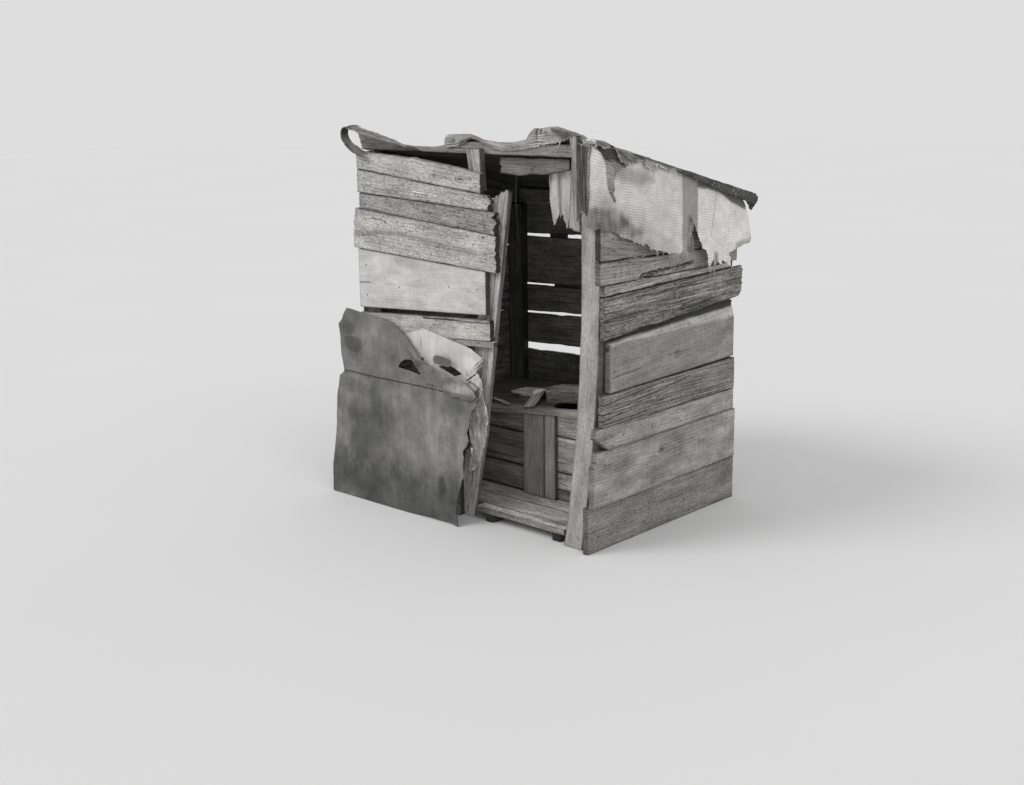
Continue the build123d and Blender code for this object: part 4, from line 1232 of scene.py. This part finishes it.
# Torn felt hanging over the top of the canvas
DRAPE_POINTS = [(-78, -24), (-60, -14), (-40, -27), (-8, -18), (6, -2), (26, -6), (38, -30), (50, -46), (78, -53),
                (112, -43), (145, -38), (175, -22), (200, -19), (207, -37), (240, -42), (277, -40), (291, -12),
                (310, -20), (345, -24), (378, -26), (414, -6), (430, 30), (-78, 30)]


def drape_place(y, fall):
    x = 119 - CANVAS_SLANT * max(y, WRAP_END) + bump(y * 0.03, fall * 0.03, 9, 5)
    if y < WRAP_END:
        x = 119 - 0.0007 * y ** 2
    rise = roof_top(y) - ROOF_TOP + 7 if y > ROOF_START else 8 + 34 * ease(y, ROOF_START, -60)
    if fall > 0:
        return hut(x - fall * 1.4 - 2, y, ROOF_TOP + rise + fall * 0.12)
    lift = ease(-fall, 5, 50) * 9 + 5 * bell(y, 292, 9)
    return hut(min(x + lift, 128), y, ROOF_TOP + rise + fall)


# Painted shade on the drape: near its front end, along a fold, along a line under its top and in two gaps.
def drape_darks(y, fall):
    fold = bell(fall + 0.42 * (y - 40), -6, 5) * (y > 45) * (y < 120)
    flakes = ramp((y - 205) / 10)
    line = bell(fall, -4, 3.5) * ramp((y - 120) / 30)
    gap = bell(y + 0.2 * fall, 292, 5) + bell(y + 0.3 * fall, 203, 4)
    return {"under": ramp(0.9 * bell(y, 12, 16) + 0.5 * fold + 0.35 * (1 - flakes) * (fall < -4) + 0.8 * line
                          + 0.5 * gap * (fall < -6))}


drape_felt = roofing_felt("side felt edge", 138, stripes=0.5, mottle=0.8, edge=0.5)
sheet("side_felt_edge", None, "roofing_felt", drape_felt, torn(DRAPE_POINTS, 0.005, 0.006, 13, 20), 0.006,
      drape_place, 0.0028, drape_darks)


# Pieces that keep their outline from the construction and are bent or dented here
def dented(node, slot, material, cell, move, name, under=None, cuts=(), angle=50):
    """A copy of a sheet node cut into cells, its points moved by a function of where they are."""
    piece = copy_of(node)
    low, high = extent(points_of(piece.data)).reshape(2, 3)
    start_edit(piece)
    for spot, normal in cuts:
        cut(spot, normal)
    for axis, direction in enumerate(AXES):
        if high[axis] - low[axis] > 1.5 * cell:
            slices(direction, low[axis], high[axis], cell)
    end_edit()
    mesh = piece.data
    local = to_hut(points_of(mesh))
    states = [(Vector(p), Vector(n)) for p, n in zip(local, points_of(mesh, "normal"))]
    x, y, z = local.T
    keep_attribute(mesh, "weave", np.stack([x + y, z, y], 1) / 1000)
    keep_attribute(mesh, "rim", np.zeros(len(local)))
    if under:
        keep_attribute(mesh, "under", [under(*state) for state in states])
    put_points(mesh, from_hut(np.array([move(*state) for state in states])))
    return finish_piece(piece, name, node, slot, material, angle)


SEAM_HEIGHT = 538
SLOPE_START, SLOPE = 112, 0.1395


def dark_sheet_move(p, n):
    """Bulges, a lapped upper part, a torn right edge and edges that curl away from the wall."""
    bulge = bump(p.x * 0.004, p.z * 0.004, 2, 8) + bump(p.x * 0.016, 0, p.z * 0.016, 3)
    bulge += bump(p.x * 0.05, 3, p.z * 0.05, 1.5)
    out = bulge * 0.8 + 4.5 * ease(p.z, SEAM_HEIGHT - 0.6, SEAM_HEIGHT + 0.6) + 6
    torn_x = bump(0, p.z * 0.03, 1, 6) + bump(0, p.z * 0.11, 4, 4)
    lift = 12 * ease(p.x, -700, -590) * max(0.0, bump(0, p.z * 0.012, 9)) * ease(p.z, 560, 500)
    tip = 16 * ease(p.x, -1330, -1400) * ease(p.z, 740, 800)
    fade = min(1.0, p.z / 120)
    return Vector((p.x + torn_x * ease(p.x, -690, -610), p.y - (out + lift + tip) * fade, max(p.z, 0.5)))


def on_sheet(x, z):
    """Place in the dark sheet's own pattern of a point on its slope, in metres."""
    return ((x - SLOPE_START + SLOPE * z) / 1000, z / 1000)


def sheet_seam(start, end, half=0.0034, strength=0.6):
    return (on_sheet(*start), on_sheet(*end), half, strength)


SHEET_PATCHES = [(on_sheet(x, z), reach, strength, square) for x, z, reach, strength, square in (
    (-1342, 728, (0.047, 0.028), -0.15, 0.3), (-1308, 664, (0.064, 0.038), -0.2, 0.2),
    (-720, 345, (0.2, 0.18), 0.14, 0), (-1160, 270, (0.16, 0.24), -0.24, 0), (-980, 60, (0.55, 0.17), -0.28, 0),
    (-640, 260, (0.05, 0.2), -0.14, 0), (-660, 478, (0.09, 0.04), -0.14, 0), (-1060, 700, (0.1, 0.06), 0.08, 0),
    (-700, 150, (0.03, 0.05), -0.28, 0), (-1280, 480, (0.08, 0.05), -0.12, 0), (-1000, 470, (0.12, 0.05), 0.1, 0))]
SHEET_SEAMS = [sheet_seam((-1378, 540), (-1244, 542)), sheet_seam((-1244, 542), (-1025, 537)),
               sheet_seam((-1025, 537), (-672, 536)), sheet_seam((-672, 536), (-560, 537)),
               sheet_seam((-726, 124), (-690, 92), 0.003, 0.4), sheet_seam((-722, 128), (-684, 210), 0.003, 0.4)]
SEAM_CUTS = [(AXES[2] * ((SEAM_HEIGHT + gap) / 1000), AXES[2]) for gap in (-0.8, 0.8)]
dark_finish = sheet_stock("tarred sheet", 103, mottle=0.6, streaks=0.35, patches=SHEET_PATCHES, seams=SHEET_SEAMS,
                          pepper=0.45)
dented("dark_sheet", "dark_sheet", dark_finish, 0.013, dark_sheet_move, "tarred_sheet_leaning", cuts=SEAM_CUTS)

# Edge of the dark sheet folded over itself, and a tab of it
FOLD_POINTS = [(-953, 676), (-919, 647), (-862, 630), (-788, 623), (-706, 602), (-627, 595), (-548, 566), (-528, 545),
               (-544, 527), (-620, 529), (-692, 527), (-754, 558), (-830, 560), (-850, 580), (-880, 606), (-908, 630),
               (-934, 652)]


def fold_place(x, z):
    crumple = bump(x * 0.025, z * 0.03, 3, 7) + bump(x * 0.07, z * 0.08, 5, 4)
    return hut(x, SLOPE * z - SLOPE_START - 17 - abs(crumple) - 5 * ease(x, -800, -600), z)


fold_finish = sheet_stock("folded sheet edge", 106, mottle=0.9, streaks=0.3, pepper=0.8, relief=1.5,
                          patches=[((-0.63, 0.56), (0.09, 0.03), 0.25, 0)])
# Painted shade on the folded edge: darker to its left and below 548 mm.
sheet("sheet_edge_folded", None, "dark_sheet", fold_finish, torn(FOLD_POINTS, 0.004, 0.007, 31), 0.008, fold_place,
      0.002, lambda x, z: {"under": ramp((-830 - x) / 50) * 0.5 + 0.4 * (z < 548)}, 50)

TAB_POINTS = [(-806, 655), (-803, 668), (-790, 677), (-745, 674), (-706, 669), (-699, 660), (-704, 642),
              (-716, 636), (-770, 639), (-797, 641)]
tab_finish = sheet_stock("sheet tab", 88, streaks=0.2)
sheet("sheet_tab", None, "dark_sheet", tab_finish, metres(TAB_POINTS), 0.008,
      lambda x, z: hut(x, -27 + 0.06 * (z - 655) - 0.0002 * (x + 750) ** 2, z), 0.003, angle=50)


def pale_sheet_move(p, n):
    ripple = bump(p.x * 0.012, p.z * 0.012, 5, 4) + bump(p.x * 0.04, p.z * 0.04, 2, 2)
    crease = 5 * bell(p.x, -903, 7) * ease(p.z, 660, 700)
    lift = 14 * ease(p.x, -640, -526) * ease(p.z, 600, 700) + 8 * ease(p.z, 640, 570)
    return Vector((p.x, p.y - abs(ripple) - lift - crease, p.z))


# Its first patch is painted shade: the pale sheet seen through a hole in the dark sheet is darkened to look like the
# dark inside.
pale_finish = sheet_stock("pale board sheet", 196, mottle=0.24, streaks=0.3, relief=0.8, pepper=0.16,
                          patches=[((-0.94, 0.61), (0.052, 0.042), -0.9, 1), ((-0.903, 0.71), (0.006, 0.04), -0.2, 0),
                                   ((-0.62, 0.66), (0.07, 0.03), 0.08, 0), ((-0.7, 0.6), (0.1, 0.02), -0.15, 0)])
dented("pale_sheet", "pale_sheet", pale_finish, 0.012, pale_sheet_move, "pale_sheet_torn")

CRUMPLE_POINTS = [(-640, 612), (-610, 630), (-583, 646), (-556, 668), (-532, 690), (-519, 681), (-548, 652),
                  (-566, 634), (-548, 620), (-534, 607), (-529, 588), (-533, 566), (-545, 545), (-566, 520),
                  (-582, 528), (-600, 548), (-640, 560), (-672, 583)]
CRUMPLE_SEAMS = [((-0.619, 0.589), (-0.566, 0.624), 0.004, 0.8), ((-0.566, 0.624), (-0.553, 0.654), 0.005, 0.7),
                 ((-0.553, 0.654), (-0.513, 0.692), 0.004, 0.6), ((-0.547, 0.618), (-0.528, 0.602), 0.003, 0.7),
                 ((-0.606, 0.586), (-0.568, 0.577), 0.003, 0.7), ((-0.568, 0.577), (-0.536, 0.554), 0.003, 0.7)]


def crumple_place(x, z):
    fold = bump(x * 0.05, z * 0.03, 3, 8) + bump(x * 0.1, z * 0.12, 5, 5)
    return hut(x, -16 - abs(fold) + 10 * ease(z, 590, 530), z)


def creases(scale, depth, x, z):
    """Painted shade in the creases where a crumpled sheet folds, as thin wandering dark lines."""
    slant = x - 0.35 * z
    line = noise_over(slant, z, (scale, scale * 0.3), 3)
    fade = ramp(0.5 + 1.5 * noise_over(slant, z, (0.019, 0.019), 8))
    return {"under": ramp(1 - np.abs(line) / 0.08) * depth * fade}


crumple_finish = sheet_stock("crumpled pale sheet", 168, mottle=0.8, streaks=0.6, pepper=0.6, relief=1.6,
                             seams=CRUMPLE_SEAMS)
sheet("pale_sheet_crumpled", None, "pale_sheet", crumple_finish, torn(CRUMPLE_POINTS, 0.003, 0.007, 33), 0.005,
      crumple_place, 0.0015, partial(creases, 0.03, 1.0))

STRIP_POINTS = [(-566, 556), (-551, 520), (-526, 477), (-521, 440), (-526, 410), (-549, 350), (-560, 310),
                (-570, 280), (-588, 243), (-612, 214), (-637, 204), (-642, 230), (-631, 270), (-621, 309),
                (-634, 345), (-638, 382), (-634, 410), (-622, 440), (-598, 475), (-577, 506)]


def strip_place(x, z):
    fold = bump(x * 0.06 + z * 0.01, z * 0.012, 7, 9) + bump(x * 0.13, z * 0.06, 1, 4)
    return hut(x, 11 - abs(fold) - 8 * ease(x, -560, -524) * ease(z, 350, 420), z)


strip_finish = sheet_stock("pale strip", 198, mottle=0.7, streaks=0.6, pepper=1.0, relief=1.4)
sheet("pale_strip_crumpled", "pale_strip", "pale_sheet", strip_finish, torn(STRIP_POINTS, 0.005, 0.008, 35), 0.005,
      strip_place, 0.0015, partial(creases, 0.034, 0.5))

# Felt curled up at the left end of the header: its lower and its upper edge, from the tip round the loop
CURL_FRONT = [(-938, -30, 1516), (-960, -30, 1526), (-1057, -30, 1542), (-1201, -30, 1565), (-1265, -30, 1578),
              (-1314, -30, 1590), (-1338, -30, 1577), (-1341, -30, 1547), (-1309, -30, 1512), (-1251, -30, 1480),
              (-1192, -30, 1464)]
CURL_BACK = [(-940, -22, 1521), (-995, 10, 1526), (-1043, 12, 1540), (-1167, 12, 1571), (-1250, 12, 1588),
             (-1290, 12, 1599), (-1330, 12, 1588), (-1340, 12, 1558), (-1312, 6, 1528), (-1262, 2, 1509),
             (-1214, 2, 1487)]
CURL_LENGTH, CURL_WIDTH = 620, 48
curl_edges = [smooth_line(edge, 120)[1] for edge in (CURL_FRONT, CURL_BACK)]


def curl_place(along, over):
    share = min(max(over / CURL_WIDTH, 0.0), 1.0)
    front, back = (read_off(line, along / CURL_LENGTH * 119) for line in curl_edges)
    x, y, z = front * (1 - share) + back * share
    rough = bump(along * 0.026, over * 0.05, 2, 3.5) + bump(along * 0.08, over * 0.06, 5, 1.5)
    return hut(x, y, z + rough * ease(along, 0, 60))


# Painted shade on the curl: dark rims and deep inside its loop, and a dark line along the ribbon before it.
def curl_darks(along, over):
    loop = ramp((along - 360) / 20)
    line = bell(over - 8 * np.sin(along * 0.03), 16, 3.5) + 0.9 * ramp(1 - over / 6)
    rims = ramp(1 - np.minimum(over, CURL_WIDTH - over) / 9)
    deep = ramp((470 - along) / 40)
    return {"under": ramp(loop * np.maximum(0.15 + 0.75 * rims, 0.8 * deep) + 0.55 * line * (1 - loop))}


curl_felt = roofing_felt("curled felt", 118, stripes=0.4, mottle=0.7, edge=0.5, pitch=0.02)
curl_points = [(0, 0), (CURL_LENGTH, 0), (CURL_LENGTH, CURL_WIDTH), (0, CURL_WIDTH)]
sheet("front_felt_curled", "front_felt_curl", "roofing_felt", curl_felt, torn(curl_points, 0.004, 0.012, 37), 0.008,
      curl_place, 0.004, curl_darks)

# The same felt coming down from the curl onto the header
LAP_TOP = [(-1330, 1589), (-1290, 1590), (-1250, 1582), (-1167, 1566), (-1043, 1537), (-995, 1524), (-900, 1514)]
LAP_DROP = 70


def lap_place(x, down):
    share = down / LAP_DROP
    dip = bump(x * 0.03, down * 0.04, 3, 2)
    low = profile(HEADER_TOP, x) - 14
    return hut(x, 12 + 51 * share + dip, profile(LAP_TOP, x) * (1 - share) + low * share + dip)


lap_felt = roofing_felt("felt on the header", 152)
lap_points = [(-930, 0), (-930, LAP_DROP), (-1322, LAP_DROP), (-1296, 0)]
# Painted shade along the top of this felt, where it comes out from under the curl.
sheet("front_felt_lap", None, "roofing_felt", lap_felt, torn(lap_points, 0.003, 0.01, 43), 0.009, lap_place, 0.003,
      lambda x, down: {"under": 0.5 * ramp(1 - down / 20)})

# Roof felt, laid in widths that lap downhill
ROOF_LAPS = [262, 548, 826]
LAP_CUTS = [(AXES[1] * (HUT_CORNER.y + (edge + gap) / 1000), AXES[1]) for edge in ROOF_LAPS
            for gap in (-9, -0.8, 0.8, 9)]


def lap_shadow(p, n):
    return max(0.75 * bell(p.y, edge + 4, 5.5) for edge in ROOF_LAPS) if n.z > 0.5 else 0.0


def roof_felt_move(p, n):
    wave = bump(p.x * 0.004, p.y * 0.006, 1, 2.5) + bump(p.x * 0.02, p.y * 0.02, 1, 1.2)
    lap = 1 + sum(3.2 * ease(p.y, edge + 0.9, edge - 0.9) for edge in ROOF_LAPS) / len(ROOF_LAPS)
    lap += 2.8 * sum(math.exp(-max(0.0, edge - p.y) / 26) for edge in ROOF_LAPS if p.y < edge + 0.5)
    return Vector((p.x, p.y, p.z - roof_sag(p.x, p.y) + (abs(wave) + lap if n.z > 0 else 0)))


top_felt = roofing_felt("roof felt", 118, stripes=0.1, mottle=0.8)
dented("roof_felt", "roofing_felt", top_felt, 0.022, roof_felt_move, "roof_felt_worn", lap_shadow, LAP_CUTS)


def roll_move(p, n):
    lump = bump(p.x * 0.03, p.y * 0.02, p.z * 0.03, 3.5) + bump(*p * 0.09, 1.5)
    return p - n * (1.5 + lump * 0.5) + AXES[2] * (9 * ease(p.y, 800, 930) * max(-n.z, 0.0))


tar_finish = roofing_felt("tarred roll", 66, stripes=0.0, flecks=0.85, mottle=0.9, relief=2.0)
dented("roof_edge_roll", "roofing_felt", tar_finish, 0.010, roll_move, "tarred_roll")
TAG_POINTS = [(955, -228), (1000, -230), (996, -246), (985, -258), (975, -286), (966, -262)]
sheet("tarred_roll_end", None, "roofing_felt", tar_finish, torn(TAG_POINTS, 0.004, 0.006, 39), 0.007,
      lambda y, z: hut(62 + 14 * math.sin(y * 0.09), y, ROOF_TOP + z), 0.003)

# Rag hanging in the doorway behind the lintel
RAG_POINTS = [(-291, 0), (-289, -55), (-282, -150), (-268, -228), (-262, -256), (-255, -236), (-245, -218),
              (-236, -205), (-226, -222), (-214, -204), (-206, -232), (-196, -262), (-189, -214), (-181, -180),
              (-178, -80), (-172, 0)]
RAG_TOP, RAG_DEPTH = ROOF_TOP - 45, 122


def rag_place(x, z):
    sway = 5 * math.sin(x * 0.1 + 1) * ease(-z, 0, 200)
    return hut(x, RAG_DEPTH + sway + bump(x * 0.04, z * 0.02, 2, 3), RAG_TOP + z)


# The rag's stain darkens towards its foot; its shade is painted shade in the rag's vertical folds.
def rag_stain_and_shade(x, z):
    return {"stain": ramp(-z * 0.003 - 0.2),
            "shade": np.clip(0.1 + 1.3 * noise_over(x, z, (0.032, 0.0035), 6), 0, 0.38)}


rag_cloth = ribbed_canvas("torn rag", 208, None, 0.6, 0.3)
rag, rag_area = sheet("hanging_rag_torn", "hanging_rag", "rag", rag_cloth, torn(RAG_POINTS, 0.003, 0.006, 17, 14),
                      0.008, rag_place, 0.0012, rag_stain_and_shade)

# Iron wire and nails
iron = old_iron("old iron")
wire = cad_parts["latch_wire"].data
wire.materials.clear()
wire.materials.append(iron)


def nail_heads(name, pieces, spots, toward, radius=0.0036):
    """Small iron heads set on the faces that lines from outside meet first."""
    bpy.ops.object.select_all(action="DESELECT")
    bpy.ops.mesh.primitive_cylinder_add(vertices=10, radius=radius, depth=0.003, location=(0, 0, 0))
    head = bpy.context.object
    start_edit(head)
    bpy.ops.mesh.bevel(offset=radius * 0.25, segments=1, affect="EDGES")
    end_edit()
    made = []
    for spot in spots:
        found = first_hit(pieces, spot, toward)
        if found:
            place, normal = found
            single = new_object(name, head.data.copy())
            turn = normal.to_track_quat("Z", "Y").to_matrix().to_4x4()
            single.data.transform(Matrix.Translation(place + normal * 0.0002) @ turn)
            made.append(single)
    bpy.data.objects.remove(head)
    return finish_piece(join_all(made), name, None, "iron_wire", iron, 40)


FRONT_NAILS = [(-1232, 1470), (-1240, 1432), (-1238, 1378), (-1236, 1338), (-1238, 1268), (-1236, 1204), (-1240, 1110),
               (-596, 1362), (-520, 1338), (-512, 1306), (-868, 1257), (-899, 1318), (-505, 1262), (-520, 1222),
               (-533, 1174), (-520, 1092), (-728, 962), (-567, 966), (-1032, 932), (-1240, 1010), (-1240, 880),
               (-586, 810), (-565, 750), (-1236, 790), (-1236, 450), (-1236, 330), (-1236, 200), (-1236, 80)]
SIDE_NAILS = [(39, 1210), (46, 1165), (45, 1110), (52, 1070), (50, 1020), (36, 960), (40, 890), (62, 800), (65, 713),
              (48, 600), (44, 530), (36, 455), (150, 447), (42, 350), (52, 230), (30, 120), (34, 60), (905, 1078),
              (900, 1022), (910, 940), (905, 880), (915, 800), (908, 690), (903, 600), (912, 520), (905, 440),
              (908, 360), (900, 230), (905, 110), (912, 50)]
NAIL_ROWS = (70, 280, 400, 470, 570, 650, 740, 800, 900, 1000, 1110, 1180)
BENT_NAIL = [(-156, 46, 1564), (-159, 42, 1549), (-165, 40, 1534), (-175, 42, 1515), (-184, 52, 1495)]
nail_heads("front_nails", front_pieces, [hut(x, -400, z) for x, z in FRONT_NAILS], AXES[1], 0.0032)
nail_heads("side_nails", right_pieces + [woodwork["right_top_boards"]], [hut(500, y, z) for y, z in SIDE_NAILS],
           -AXES[0], 0.0034)
finish_piece(strand(BENT_NAIL, 2.6), "bent_nail", None, "iron_wire", old_iron("bent nail iron", 128))

chance = random.Random(77)
back_spots, left_spots = [], []
for z in NAIL_ROWS:
    for x in (-1240, -70):
        back_spots.append(hut(x + chance.uniform(-10, 10), 1500, z + chance.uniform(-8, 8)))
    for y in (70, 910):
        left_spots.append(hut(-1800, y + chance.uniform(-10, 10), z + chance.uniform(-8, 8)))
nail_heads("back_nails", [woodwork["back_wall_boards"]], back_spots, -AXES[1])
nail_heads("left_nails", [woodwork["left_wall_boards"]], left_spots, AXES[0])


# Floor, light and background
# Name, direction, strength and spread in degrees
LAMPS = (("key", (0.55, 1.0, -1.0), 1.15, 28), ("side", (-1.0, 0.45, -0.9), 0.5, 40))


def set_the_stage():
    bpy.ops.object.select_all(action="DESELECT")
    bpy.ops.mesh.primitive_plane_add(size=60, location=(0, 0, -0.0005))
    floor = bpy.context.object
    floor.name = "studio_floor"
    f = new_finish("studio floor")
    haze = f.cloud(f.place(), (0.6, 0.6, 0.6), 2, 0.5)
    floor.data.materials.append(f.surface(f.mix(haze, grey(216, 0.0), grey(220, 0.0)), 0.9))
    world = bpy.context.scene.world = bpy.data.worlds.new("studio")
    w = Finish(world)
    rays = w.node("LightPath").socket.node.outputs
    seen, glossy, through = (Value(w, rays[f"Is {kind} Ray"]) for kind in ("Camera", "Glossy", "Transmission"))
    colour = w.mix(seen.above(glossy).above(through), (0.68, 0.68, 0.68, 1), grey(222, 0.0))
    w.output("World", w.node("Background", (), {"Color": colour, "Strength": 1.0}))
    for name, direction, strength, spread in LAMPS:
        lamp = bpy.data.lights.new(name, "SUN")
        lamp.energy = strength
        lamp.angle = math.radians(spread)
        holder = new_object(name, lamp)
        holder.rotation_mode = "QUATERNION"
        holder.rotation_quaternion = Vector(direction).to_track_quat("-Z", "Y")


set_the_stage()
